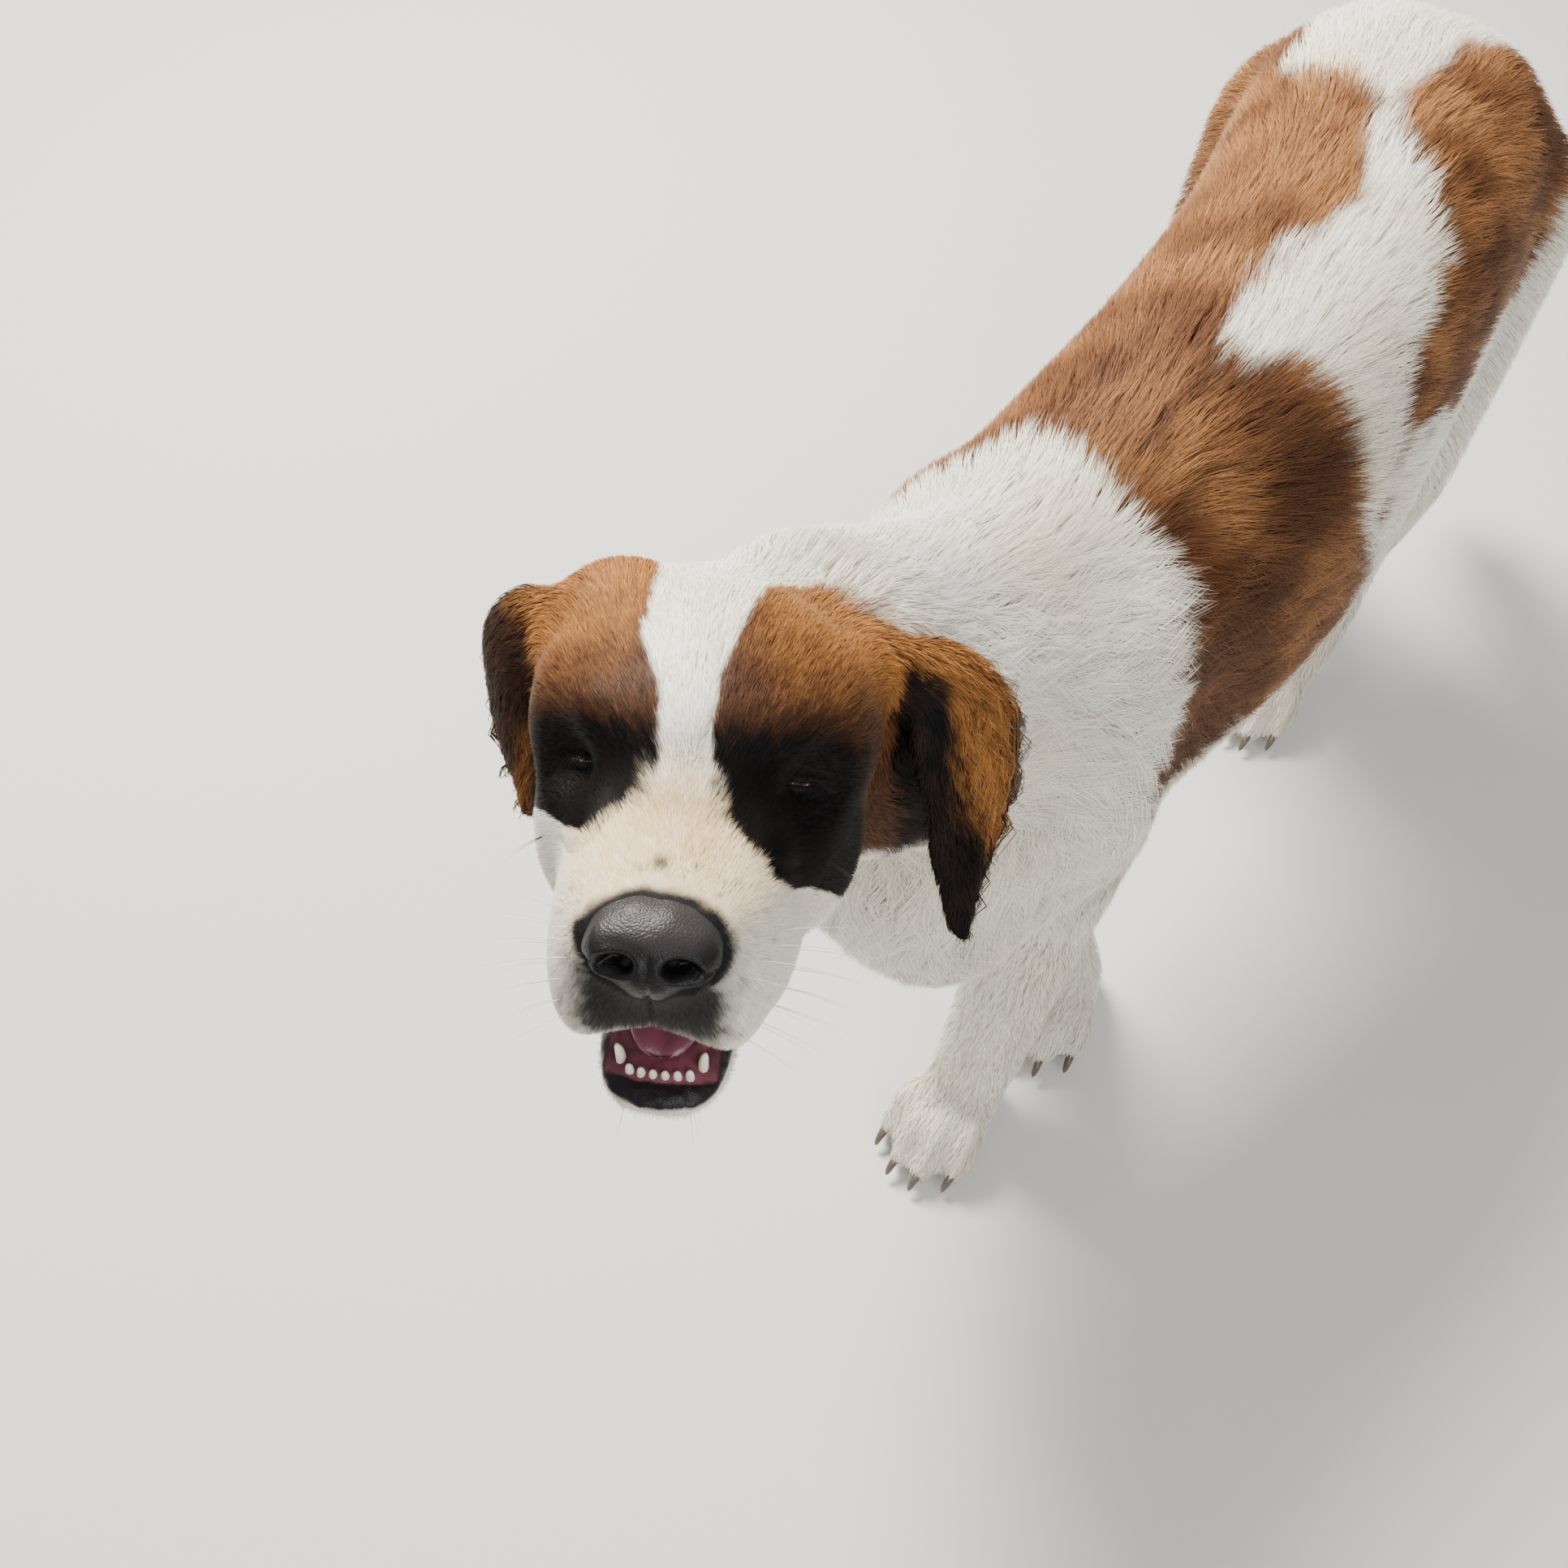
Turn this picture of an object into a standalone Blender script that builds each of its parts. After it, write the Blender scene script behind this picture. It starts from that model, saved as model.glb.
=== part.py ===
"""A Saint Bernard in mid-walk, life size, modelled whole and parted by thin cuts.

The dog faces -Y, its left side is +X, and it stands on the plane z = 0.
The body and the head are each sculpted from named masses, melted into one form,
then divided where a person would name the parts.
"""

import math

import bmesh
import bpy
from mathutils import Euler, Matrix, Vector
from mathutils.bvhtree import BVHTree

# Driving dimensions, in metres
GAP = 0.0003
TOE_LENGTH = 0.044
EYE_RADIUS = 0.0125
JAW_OPEN = math.radians(22)
BODY_VOXEL = 0.0065
FOOT_VOXEL = 0.0038
HEAD_VOXEL = 0.0036

# Triangles that each form keeps
BODY_TRIANGLES = 1610
LEG_TRIANGLES = 220
FOOT_TRIANGLES = 215
HEAD_TRIANGLES = 1350
JAW_TRIANGLES = 180

# The head's own frame: x to the dog's left, y backwards, origin between the eyes
HEAD_AT = Vector((-0.015, -0.356, 0.744))
HEAD_TURN = Euler((math.radians(-30.4), math.radians(1.3), math.radians(28.9)), "XYZ")
HEAD = Matrix.LocRotScale(HEAD_AT, HEAD_TURN, None)
JAW_HINGE = Vector((0.0, 0.060, -0.050))
JAW = HEAD @ Matrix.Translation(JAW_HINGE) @ Matrix.Rotation(JAW_OPEN, 4, "X") @ Matrix.Translation(-JAW_HINGE)

# Trunk sections from the buttocks forward: y, middle x, top z, bottom z, half width
TRUNK = (
    (0.665, -0.014, 0.560, 0.450, 0.055),
    (0.630, -0.013, 0.618, 0.415, 0.096),
    (0.560, -0.012, 0.664, 0.395, 0.126),
    (0.450, 0.004, 0.682, 0.390, 0.126),
    (0.340, 0.019, 0.680, 0.372, 0.123),
    (0.210, 0.025, 0.676, 0.334, 0.126),
    (0.090, 0.013, 0.666, 0.312, 0.122),
    (0.000, -0.004, 0.652, 0.304, 0.114),
    (-0.080, -0.014, 0.640, 0.306, 0.103),
    (-0.150, -0.018, 0.600, 0.335, 0.088),
    (-0.205, -0.018, 0.540, 0.390, 0.058),
)
NECK = (
    ((-0.010, -0.040, 0.525), 0.108), ((-0.018, -0.120, 0.560), 0.096),
    ((-0.030, -0.195, 0.603), 0.086), ((-0.044, -0.255, 0.650), 0.078),
)

# Leg joints: the point, then the limb's radius with its coat; a foot's second value is its turn in degrees
FORE_LEFT = dict(
    shoulder=((0.056, -0.085, 0.480), 0.068), elbow=((0.055, -0.020, 0.345), 0.050),
    forearm=((0.052, -0.044, 0.255), 0.0455), wrist=((0.048, -0.078, 0.130), 0.0390),
    pastern=((0.045, -0.094, 0.065), 0.035), foot=((0.043, -0.112, 0.0), 3.0),
)
FORE_RIGHT = dict(
    shoulder=((-0.072, -0.070, 0.480), 0.066), elbow=((-0.074, 0.000, 0.345), 0.050),
    forearm=((-0.044, 0.016, 0.255), 0.0455), wrist=((0.018, 0.046, 0.130), 0.0390),
    pastern=((0.044, 0.048, 0.065), 0.035), foot=((0.060, 0.034, 0.0), -8.0),
)
HIND_LEFT = dict(
    hip=((0.062, 0.550, 0.525), 0.086), stifle=((0.090, 0.425, 0.395), 0.060),
    shin=((0.084, 0.480, 0.290), 0.051), hock=((0.078, 0.546, 0.180), 0.037),
    pastern=((0.070, 0.500, 0.065), 0.035), foot=((0.066, 0.458, 0.0), 2.0),
)
HIND_RIGHT = dict(
    hip=((-0.084, 0.560, 0.525), 0.086), stifle=((-0.104, 0.470, 0.382), 0.060),
    shin=((-0.102, 0.555, 0.285), 0.051), hock=((-0.098, 0.650, 0.188), 0.037),
    pastern=((-0.092, 0.656, 0.065), 0.035), foot=((-0.090, 0.626, 0.0), 8.0),
)
LEGS = {
    "fore_left": FORE_LEFT, "fore_right": FORE_RIGHT,
    "hind_left": HIND_LEFT, "hind_right": HIND_RIGHT,
}
FOOT_WIDTH = {"fore": 0.088, "hind": 0.080}
# Where the legs leave the trunk: the height of the cut, and how far its outer side rises
ARMPIT_HEIGHT, ARMPIT_RISE = 0.322, 20.0
THIGH_HEIGHT = 0.330

# Tail from its root to its tip: the point, then the radius with its hair
TAIL = (
    ((-0.012, 0.595, 0.600), 0.040),
    ((-0.008, 0.668, 0.548), 0.040),
    ((0.006, 0.712, 0.450), 0.046),
    ((0.026, 0.728, 0.345), 0.050),
    ((0.042, 0.742, 0.250), 0.044),
    ((0.054, 0.775, 0.180), 0.027),
    ((0.060, 0.802, 0.158), 0.010),
)

WHITE_COAT = (0.80, 0.76, 0.68)
BROWN_COAT = (0.36, 0.14, 0.045)
BLACK_COAT = (0.016, 0.013, 0.012)
NOSE_LEATHER = (0.018, 0.018, 0.020)
MOUTH_PINK = (0.46, 0.20, 0.19)
CLAW_HORN = (0.30, 0.24, 0.19)


def start():
    """Empties the scene and makes the dog's collection and one for the guides."""
    for old in list(bpy.data.objects):
        bpy.data.objects.remove(old)
    made = []
    for name in ("saint_bernard", "guides"):
        collection = bpy.data.collections.new(name)
        bpy.context.scene.collection.children.link(collection)
        made.append(collection)
    return made


def material(name, colour, roughness):
    made = bpy.data.materials.new(name)
    made.use_nodes = True
    shader = made.node_tree.nodes["Principled BSDF"]
    shader.inputs["Base Color"].default_value = (*colour, 1.0)
    shader.inputs["Roughness"].default_value = roughness
    shader.inputs["Metallic"].default_value = 0.0
    return made


def guide(name, bm):
    """A helper object that isn't a part."""
    mesh = bpy.data.meshes.new(name)
    bm.to_mesh(mesh)
    bm.free()
    made = bpy.data.objects.new(name, mesh)
    GUIDES.objects.link(made)
    made.hide_render = True
    made.display_type = "WIRE"
    return made


def settled(guide_object):
    """The guide's mesh with its modifiers worked in."""
    bpy.context.view_layer.update()
    graph = bpy.context.evaluated_depsgraph_get()
    mesh = bpy.data.meshes.new_from_object(guide_object.evaluated_get(graph))
    guide_object.modifiers.clear()
    guide_object.data = mesh
    return guide_object


def ball(bm, centre, radii, turn=(0.0, 0.0, 0.0)):
    """An ellipsoid mass; the turn is in degrees."""
    turned = Euler([math.radians(angle) for angle in turn], "XYZ")
    place = Matrix.LocRotScale(Vector(centre), turned, Vector(radii))
    bmesh.ops.create_uvsphere(bm, u_segments=24, v_segments=14, radius=1.0, matrix=place)


def bar(bm, start_point, end_point, start_radius, end_radius):
    """A round limb length: a cone between two balls."""
    a, b = Vector(start_point), Vector(end_point)
    along = b - a
    turn = along.to_track_quat("Z", "Y").to_matrix().to_4x4()
    bmesh.ops.create_cone(
        bm, cap_ends=True, segments=24, radius1=start_radius, radius2=end_radius,
        depth=along.length, matrix=Matrix.Translation((a + b) / 2) @ turn,
    )
    ball(bm, a, (start_radius,) * 3)
    ball(bm, b, (end_radius,) * 3)


def chain(bm, joints):
    """Bars through a list of (point, radius)."""
    for (a, a_radius), (b, b_radius) in zip(joints, joints[1:]):
        bar(bm, a, b, a_radius, b_radius)


def smooth_rows(rows, steps):
    """The rows of numbers with steps between each pair, on a smooth curve through them."""
    full = []
    last = len(rows) - 1
    for i in range(last):
        before, here, there, after = (rows[max(0, min(last, i + k))] for k in (-1, 0, 1, 2))
        for step in range(steps):
            t = step / steps
            full.append(tuple(
                0.5 * (2 * b + (c - a) * t + (2 * a - 5 * b + 4 * c - d) * t * t + (3 * b - a - 3 * c + d) * t ** 3)
                for a, b, c, d in zip(before, here, there, after)
            ))
    full.append(rows[-1])
    return full


def loft(bm, rows, sides=32, fullness=2.3):
    """A skin over upright sections, each (y, middle x, top z, bottom z, half width)."""
    rings = []
    for y, x, top, bottom, half in rows:
        middle, tall = (top + bottom) / 2, (top - bottom) / 2
        ring = []
        for k in range(sides):
            angle = 2 * math.pi * k / sides
            c, s = math.cos(angle), math.sin(angle)
            across = math.copysign(abs(c) ** (2 / fullness), c) * half
            rise = math.copysign(abs(s) ** (2 / fullness), s) * tall
            ring.append(bm.verts.new((x + across, y, middle + rise)))
        rings.append(ring)
    for near, far in zip(rings, rings[1:]):
        for k in range(sides):
            bm.faces.new((near[k], near[k - 1], far[k - 1], far[k]))
    bm.faces.new(rings[0])
    bm.faces.new(tuple(reversed(rings[-1])))
    bmesh.ops.recalc_face_normals(bm, faces=bm.faces)


def melted(name, bm, voxel, smoothing, triangles):
    """The overlapping masses melted into one skin of about so many triangles."""
    made = guide(name, bm)
    remesh = made.modifiers.new("melt", "REMESH")
    remesh.mode = "VOXEL"
    remesh.voxel_size = voxel
    soften = made.modifiers.new("soften", "SMOOTH")
    soften.factor = 0.5
    soften.iterations = smoothing
    settled(made)
    return thinned(made, triangles)


def thinned(made, triangles):
    """The form with its flattest faces merged until about so many triangles are left."""
    split = made.modifiers.new("split", "TRIANGULATE")
    settled(made)
    thin = made.modifiers.new("thin", "DECIMATE")
    thin.ratio = min(1.0, triangles / len(made.data.polygons))
    return settled(made)


def combined(target, other, operation):
    """The target after a Boolean with the other form."""
    cut = target.modifiers.new("cut", "BOOLEAN")
    cut.operation = operation
    cut.solver = "EXACT"
    cut.object = other
    settled(target)
    keep_largest(target)
    return target


def keep_largest(made):
    """Leaves only the form's largest connected body."""
    bm = bmesh.new()
    bm.from_mesh(made.data)
    left = set(bm.verts)
    bodies = []
    while left:
        seed = left.pop()
        body, edge = {seed}, [seed]
        while edge:
            for link in edge.pop().link_edges:
                for vert in link.verts:
                    if vert in left:
                        left.discard(vert)
                        body.add(vert)
                        edge.append(vert)
        bodies.append(body)
    bodies.sort(key=len)
    crumbs = [vert for body in bodies[:-1] for vert in body]
    if crumbs:
        bmesh.ops.delete(bm, geom=crumbs, context="VERTS")
    bm.to_mesh(made.data)
    bm.free()


def copy_of(made, name):
    twin = made.copy()
    twin.data = made.data.copy()
    twin.name = name
    GUIDES.objects.link(twin)
    return twin


def swollen(made, name, amount):
    """A copy that stands off from the form by the amount, to cut clearance with."""
    twin = copy_of(made, name)
    bm = bmesh.new()
    bm.from_mesh(twin.data)
    bm.normal_update()
    for vert in bm.verts:
        vert.co += vert.normal * amount
    bm.to_mesh(twin.data)
    bm.free()
    return twin


def cell(name, centre, size, turn=(0.0, 0.0, 0.0), grow=0.0, frame=None):
    """A box that holds one part of a form; the turn is in degrees."""
    turned = Euler([math.radians(angle) for angle in turn], "XYZ")
    bm = bmesh.new()
    bmesh.ops.create_cube(bm, size=1.0)
    bm.transform(Matrix.LocRotScale(Vector(centre), turned, Vector([side + 2 * grow for side in size])))
    if frame is not None:
        bm.transform(frame)
    return guide(name, bm)


def part_off(form, name, coat, **place):
    """Cuts the part inside a cell out of the form, with a thin gap, and makes it a node."""
    piece = copy_of(form, name)
    combined(piece, cell(name + "_cell", **place), "INTERSECT")
    combined(form, cell(name + "_clear", grow=GAP, **place), "DIFFERENCE")
    return node(piece, name, coat)


def node(made, name, coat):
    """Moves a form into the dog's collection as a finished part."""
    GUIDES.objects.unlink(made)
    DOG.objects.link(made)
    made.name = name
    made.hide_render = False
    made.display_type = "TEXTURED"
    made.data.materials.clear()
    made.data.materials.append(coat)
    made.data.shade_smooth()
    made.data.set_sharp_from_angle(angle=math.radians(50))
    return made


def side_of(name):
    """+1 for the dog's left, -1 for its right."""
    return 1 if name.endswith("left") else -1


def fore_masses(bm, name, leg, joints):
    chain(bm, [leg[key] for key in joints])
    elbow = Vector(leg["elbow"][0])
    # Long hair at the back of the forearm
    ball(bm, elbow + Vector((-side_of(name) * 0.004, 0.008, -0.035)), (0.033, 0.040, 0.080), (22, 0, 0))


def hind_masses(bm, name, leg, joints):
    chain(bm, [leg[key] for key in joints])
    sign = side_of(name)
    hip, stifle = Vector(leg["hip"][0]), Vector(leg["stifle"][0])
    # Thigh muscle, and the breeches behind it
    ball(bm, hip.lerp(stifle, 0.45) + Vector((0, 0.030, -0.020)), (0.068, 0.122, 0.140), (-24, 0, 0))
    ball(bm, hip + Vector((-sign * 0.010, 0.078, -0.090)), (0.048, 0.046, 0.108), (-4, 0, 0))
    # Flank fold from the belly to the stifle
    ball(bm, stifle + Vector((-sign * 0.020, -0.010, 0.060)), (0.040, 0.075, 0.085), (20, 0, 0))


def body_form():
    """Trunk, neck, upper legs and tail."""
    bm = bmesh.new()
    loft(bm, smooth_rows(TRUNK, 4))
    chain(bm, NECK)
    # Ruff at the front of the chest, and the crest from the skull to the withers
    ball(bm, (-0.018, -0.148, 0.470), (0.084, 0.080, 0.120), (-20, 0, 0))
    ball(bm, (0.005, -0.134, 0.378), (0.074, 0.080, 0.079), (10, 0, 0))
    # Brisket between the elbows
    ball(bm, (-0.008, -0.066, 0.376), (0.074, 0.090, 0.070))
    # Breast muscle between the chest and the top of the left foreleg
    ball(bm, (0.042, -0.092, 0.385), (0.046, 0.056, 0.075), (10, 0, 0))
    chain(bm, (((-0.004, 0.010, 0.596), 0.054), ((-0.024, -0.110, 0.618), 0.054), ((-0.056, -0.225, 0.690), 0.052)))
    for name, leg in LEGS.items():
        if name.startswith("fore"):
            fore_masses(bm, name, leg, ("shoulder", "elbow", "forearm"))
            shoulder = Vector(leg["shoulder"][0])
            ball(bm, shoulder + Vector((side_of(name) * 0.002, 0.035, 0.035)), (0.056, 0.095, 0.110), (-22, 0, 0))
        else:
            hind_masses(bm, name, leg, ("hip", "stifle", "shin"))
    chain(bm, TAIL)
    return melted("body_form", bm, BODY_VOXEL, 9, BODY_TRIANGLES)


def leg_form(name, leg):
    """One leg from the elbow or stifle down to the pastern."""
    bm = bmesh.new()
    if name.startswith("fore"):
        fore_masses(bm, name, leg, ("shoulder", "elbow", "forearm", "wrist", "pastern"))
    else:
        hind_masses(bm, name, leg, ("stifle", "shin", "hock", "pastern"))
        # Point of the hock
        ball(bm, Vector(leg["hock"][0]) + Vector((0, 0.016, 0.012)), (0.024, 0.026, 0.032), (-20, 0, 0))
    return melted(name + "_form", bm, 0.005, 9, LEG_TRIANGLES)


def foot_form(name, leg, width):
    """A foot with four arched toes, from the pastern down, flat underneath."""
    heel, turn = Vector(leg["foot"][0]), leg["foot"][1]
    facing = Matrix.Translation(heel) @ Matrix.Rotation(math.radians(-turn), 4, "Z")
    bm = bmesh.new()
    half = width / 2
    ball(bm, (0, 0.012, 0.030), (half * 0.80, 0.040, 0.034))
    ball(bm, (0, -0.012, 0.030), (half * 0.86, 0.036, 0.030))
    # Heel pad
    ball(bm, (0, 0.018, 0.010), (half * 0.52, 0.022, 0.014))
    for toe in range(4):
        across, forward = toe_place(toe, half)
        ball(bm, (across, forward + 0.012, 0.033), (half * 0.245, TOE_LENGTH * 0.60, 0.029), (0, 0, toe_fan(toe)))
        ball(bm, (across * 1.03, forward - 0.010, 0.020), (half * 0.225, 0.019, 0.021), (0, 0, toe_fan(toe)))
    bm.transform(facing)
    wrist, pastern = leg["wrist"] if "wrist" in leg else leg["hock"], leg["pastern"]
    bar(bm, wrist[0], pastern[0], wrist[1], pastern[1])
    bar(bm, pastern[0], facing @ Vector((0, 0.010, 0.040)), pastern[1], 0.034)
    made = melted(name + "_foot_form", bm, FOOT_VOXEL, 4, FOOT_TRIANGLES)
    return combined(made, cell(name + "_ground", centre=(0, 0.3, 0.5), size=(2, 3, 1)), "INTERSECT"), facing


def toe_fan(toe):
    """How far a toe splays, in degrees, from the inner toe to the outer."""
    return (toe - 1.5) * 9.0


def toe_place(toe, half):
    """Where a toe's middle stands across the foot and forward."""
    across = (toe - 1.5) * half * 0.50
    forward = -0.052 if toe in (1, 2) else -0.036
    return across, forward


def claw_form(name, toe, half, facing):
    """A short curved claw at the end of a toe."""
    across, forward = toe_place(toe, half)
    bm = bmesh.new()
    rings = []
    for k in range(3):
        share = k / 2
        radius = 0.0042 * (1 - 0.78 * share)
        middle = Vector((across * 1.03, forward - 0.024 - 0.015 * share, 0.0165 - 0.010 * share ** 1.6))
        rings.append([
            bm.verts.new(middle + Vector((math.cos(a) * radius * 0.8, 0, math.sin(a) * radius)))
            for a in (2 * math.pi * j / 5 for j in range(5))
        ])
    for near, far in zip(rings, rings[1:]):
        for j in range(5):
            bm.faces.new((near[j], near[j - 1], far[j - 1], far[j]))
    bm.faces.new(rings[0])
    bm.faces.new(rings[-1])
    bm.transform(facing)
    bmesh.ops.recalc_face_normals(bm, faces=bm.faces)
    return guide(name, bm)


def head_form():
    """Skull, brows, cheeks, muzzle, upper lips and the nape, without the lower jaw."""
    bm = bmesh.new()
    ball(bm, (0, 0.066, 0.006), (0.076, 0.084, 0.060))
    ball(bm, (0, 0.114, 0.004), (0.064, 0.052, 0.058))
    # The skull below the raised right ear
    ball(bm, (-0.046, 0.100, 0.034), (0.036, 0.044, 0.030))
    # The slope from the forehead down to the muzzle
    ball(bm, (0, -0.006, 0.006), (0.036, 0.046, 0.020), (24, 0, 0))
    ball(bm, (0, 0.026, 0.012), (0.060, 0.056, 0.042))
    for sign in (-1, 1):
        # Brow, temple, cheekbone and the chewing muscle
        ball(bm, (sign * 0.034, 0.012, 0.020), (0.026, 0.028, 0.021), (0, 0, -sign * 18))
        ball(bm, (sign * 0.052, 0.062, 0.000), (0.033, 0.060, 0.046))
        ball(bm, (sign * 0.049, 0.026, -0.030), (0.026, 0.050, 0.036), (0, 0, -sign * 14))
        ball(bm, (sign * 0.048, 0.056, -0.052), (0.033, 0.058, 0.052))
        # Cheek in front of the eye
        ball(bm, (sign * 0.030, -0.010, -0.028), (0.024, 0.044, 0.032))
        # Upper lip, hanging below the jaw line
        ball(bm, (sign * 0.0330, -0.050, -0.056), (0.0190, 0.058, 0.043), (4, 0, -sign * 4))
        ball(bm, (sign * 0.0395, -0.016, -0.068), (0.0175, 0.050, 0.040), (8, 0, -sign * 5))
        # Lip cushions beside the nose
        ball(bm, (sign * 0.0195, -0.083, -0.052), (0.0235, 0.0255, 0.0325))
        # Where the ear springs from
        ball(bm, (sign * 0.074, 0.096, 0.022), (0.020, 0.028, 0.020))
    # Front of the upper lip, under the nose
    ball(bm, (0, -0.0920, -0.057), (0.0250, 0.0135, 0.0185), (-6, 0, 0))
    muzzle = (
        (0.030, 0.0, 0.014, -0.070, 0.047), (0.000, 0.0, 0.002, -0.070, 0.0445),
        (-0.030, 0.0, -0.004, -0.070, 0.0425), (-0.060, 0.0, -0.007, -0.068, 0.0410),
        (-0.088, 0.0, -0.011, -0.064, 0.0385), (-0.104, 0.0, -0.020, -0.060, 0.029),
    )
    loft(bm, smooth_rows(muzzle, 3), fullness=2.7)
    bm.transform(HEAD)
    chain(bm, NECK[2:])
    return melted("head_form", bm, HEAD_VOXEL, 8, HEAD_TRIANGLES)


def jaw_form():
    """The lower jaw with its lip, chin and throat, hollow for the tongue."""
    bm = bmesh.new()
    rows = (
        (0.070, 0.0, -0.058, -0.094, 0.040), (0.040, 0.0, -0.060, -0.104, 0.043),
        (0.005, 0.0, -0.066, -0.108, 0.037), (-0.030, 0.0, -0.068, -0.106, 0.0345),
        (-0.060, 0.0, -0.070, -0.102, 0.0345), (-0.082, 0.0, -0.072, -0.097, 0.0290),
        (-0.093, 0.0, -0.076, -0.091, 0.016),
    )
    loft(bm, smooth_rows(rows, 3), fullness=2.5)
    bm.transform(JAW)
    made = melted("jaw_form", bm, HEAD_VOXEL, 3, JAW_TRIANGLES)
    hollow = bmesh.new()
    ball(hollow, (0, -0.020, -0.062), (0.0225, 0.058, 0.020))
    hollow.transform(JAW)
    combined(made, guide("jaw_hollow", hollow), "DIFFERENCE")
    for index in range(6):
        # Lower front teeth, in a shallow arc behind the lip
        across = (index - 2.5) * 0.0054
        tooth(made, index, (across, -0.0765 + 10.0 * across ** 2, -0.0700), (0.0025, 0.0023, 0.0062))
    for index, sign in enumerate((-1, 1)):
        tooth(made, 6 + index, (sign * 0.0205, -0.0690, -0.0670), (0.0034, 0.0036, 0.0115))
    return made


def tooth(jaw, index, centre, radii):
    bm = bmesh.new()
    place = Matrix.LocRotScale(Vector(centre), None, Vector(radii))
    bmesh.ops.create_uvsphere(bm, u_segments=5, v_segments=4, radius=1.0, matrix=place)
    bm.transform(JAW)
    combined(jaw, guide(f"tooth_{index}", bm), "UNION")


def nose_form():
    """The nose leather at the front of the muzzle."""
    bm = bmesh.new()
    ball(bm, (0, -0.0925, -0.0300), (0.0295, 0.0235, 0.0165), (8, 0, 0))
    ball(bm, (0, -0.1035, -0.0380), (0.0180, 0.0145, 0.0160))
    for sign in (-1, 1):
        ball(bm, (sign * 0.0165, -0.1000, -0.0335), (0.0130, 0.0155, 0.0140))
    bm.transform(HEAD)
    return melted("nose_form", bm, 0.003, 2, 150)


def tongue_form():
    bm = bmesh.new()
    ball(bm, (0, -0.018, -0.066), (0.0175, 0.050, 0.0085))
    bm.transform(JAW)
    return melted("tongue_form", bm, 0.003, 2, 120)


def ear_form(name, sign, hang, spread, tip, rise, breadth):
    """A soft ear flap that leaves the skull at its burr and drops with a bend; the tip turns outwards."""
    path = smooth_rows((
        (0.070, 0.094, 0.020), (0.095, 0.100, 0.033), (0.119, 0.105, 0.020), (0.133, 0.105, -0.012),
        (0.132 + 0.3 * tip, 0.096, -0.048), (0.129 + 0.7 * tip, 0.080, -0.050 - 0.036 * hang),
        (0.130 + tip, 0.070, -0.050 - 0.064 * hang),
    ), 2)
    half_widths = (0.021, 0.031, 0.043, 0.046, 0.036, 0.017, 0.005)
    widths = [row[0] for row in smooth_rows([(half,) for half in half_widths], 2)]
    bm = bmesh.new()
    across = 5
    rows = []
    for (x, y, z), width in zip(path, widths):
        half = width * breadth
        row = []
        for k in range(across):
            v = 2 * k / (across - 1) - 1
            curl = 0.010 * v * v
            row.append(bm.verts.new((
                sign * (0.070 + (x - 0.070 + half * v * 0.72 - curl * 0.3) * spread),
                y + half * v * 0.66 + curl,
                z - half * v * 0.16 - curl * 0.2 + rise,
            )))
        rows.append(row)
    for near, far in zip(rows, rows[1:]):
        for k in range(across - 1):
            bm.faces.new((near[k], near[k + 1], far[k + 1], far[k]))
    bm.transform(HEAD)
    made = guide(name + "_form", bm)
    shell = made.modifiers.new("thickness", "SOLIDIFY")
    shell.thickness = 0.010
    shell.offset = 0.0
    settled(made)
    bm = bmesh.new()
    bm.from_mesh(made.data)
    bmesh.ops.recalc_face_normals(bm, faces=bm.faces)
    bm.to_mesh(made.data)
    bm.free()
    return made


def eye(form, name, sign, coat):
    """An eyeball seated in the skull so that its front just shows."""
    skin = BVHTree.FromObject(form, bpy.context.evaluated_depsgraph_get())
    outside = HEAD @ Vector((sign * 0.130, -0.110, 0.016))
    inside = HEAD @ Vector((sign * 0.040, 0.016, -0.004))
    hit = skin.ray_cast(outside, (inside - outside).normalized())[0]
    centre = hit + (inside - outside).normalized() * (EYE_RADIUS - 0.0022)
    for grow, target in ((GAP, form), (0.0, None)):
        bm = bmesh.new()
        place = Matrix.Translation(centre) @ HEAD_TURN.to_matrix().to_4x4()
        bmesh.ops.create_uvsphere(bm, u_segments=12, v_segments=7, radius=EYE_RADIUS + grow, matrix=place)
        made = guide(name + "_ball", bm)
        if target is not None:
            combined(target, made, "DIFFERENCE")
    return node(made, name, coat)


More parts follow.
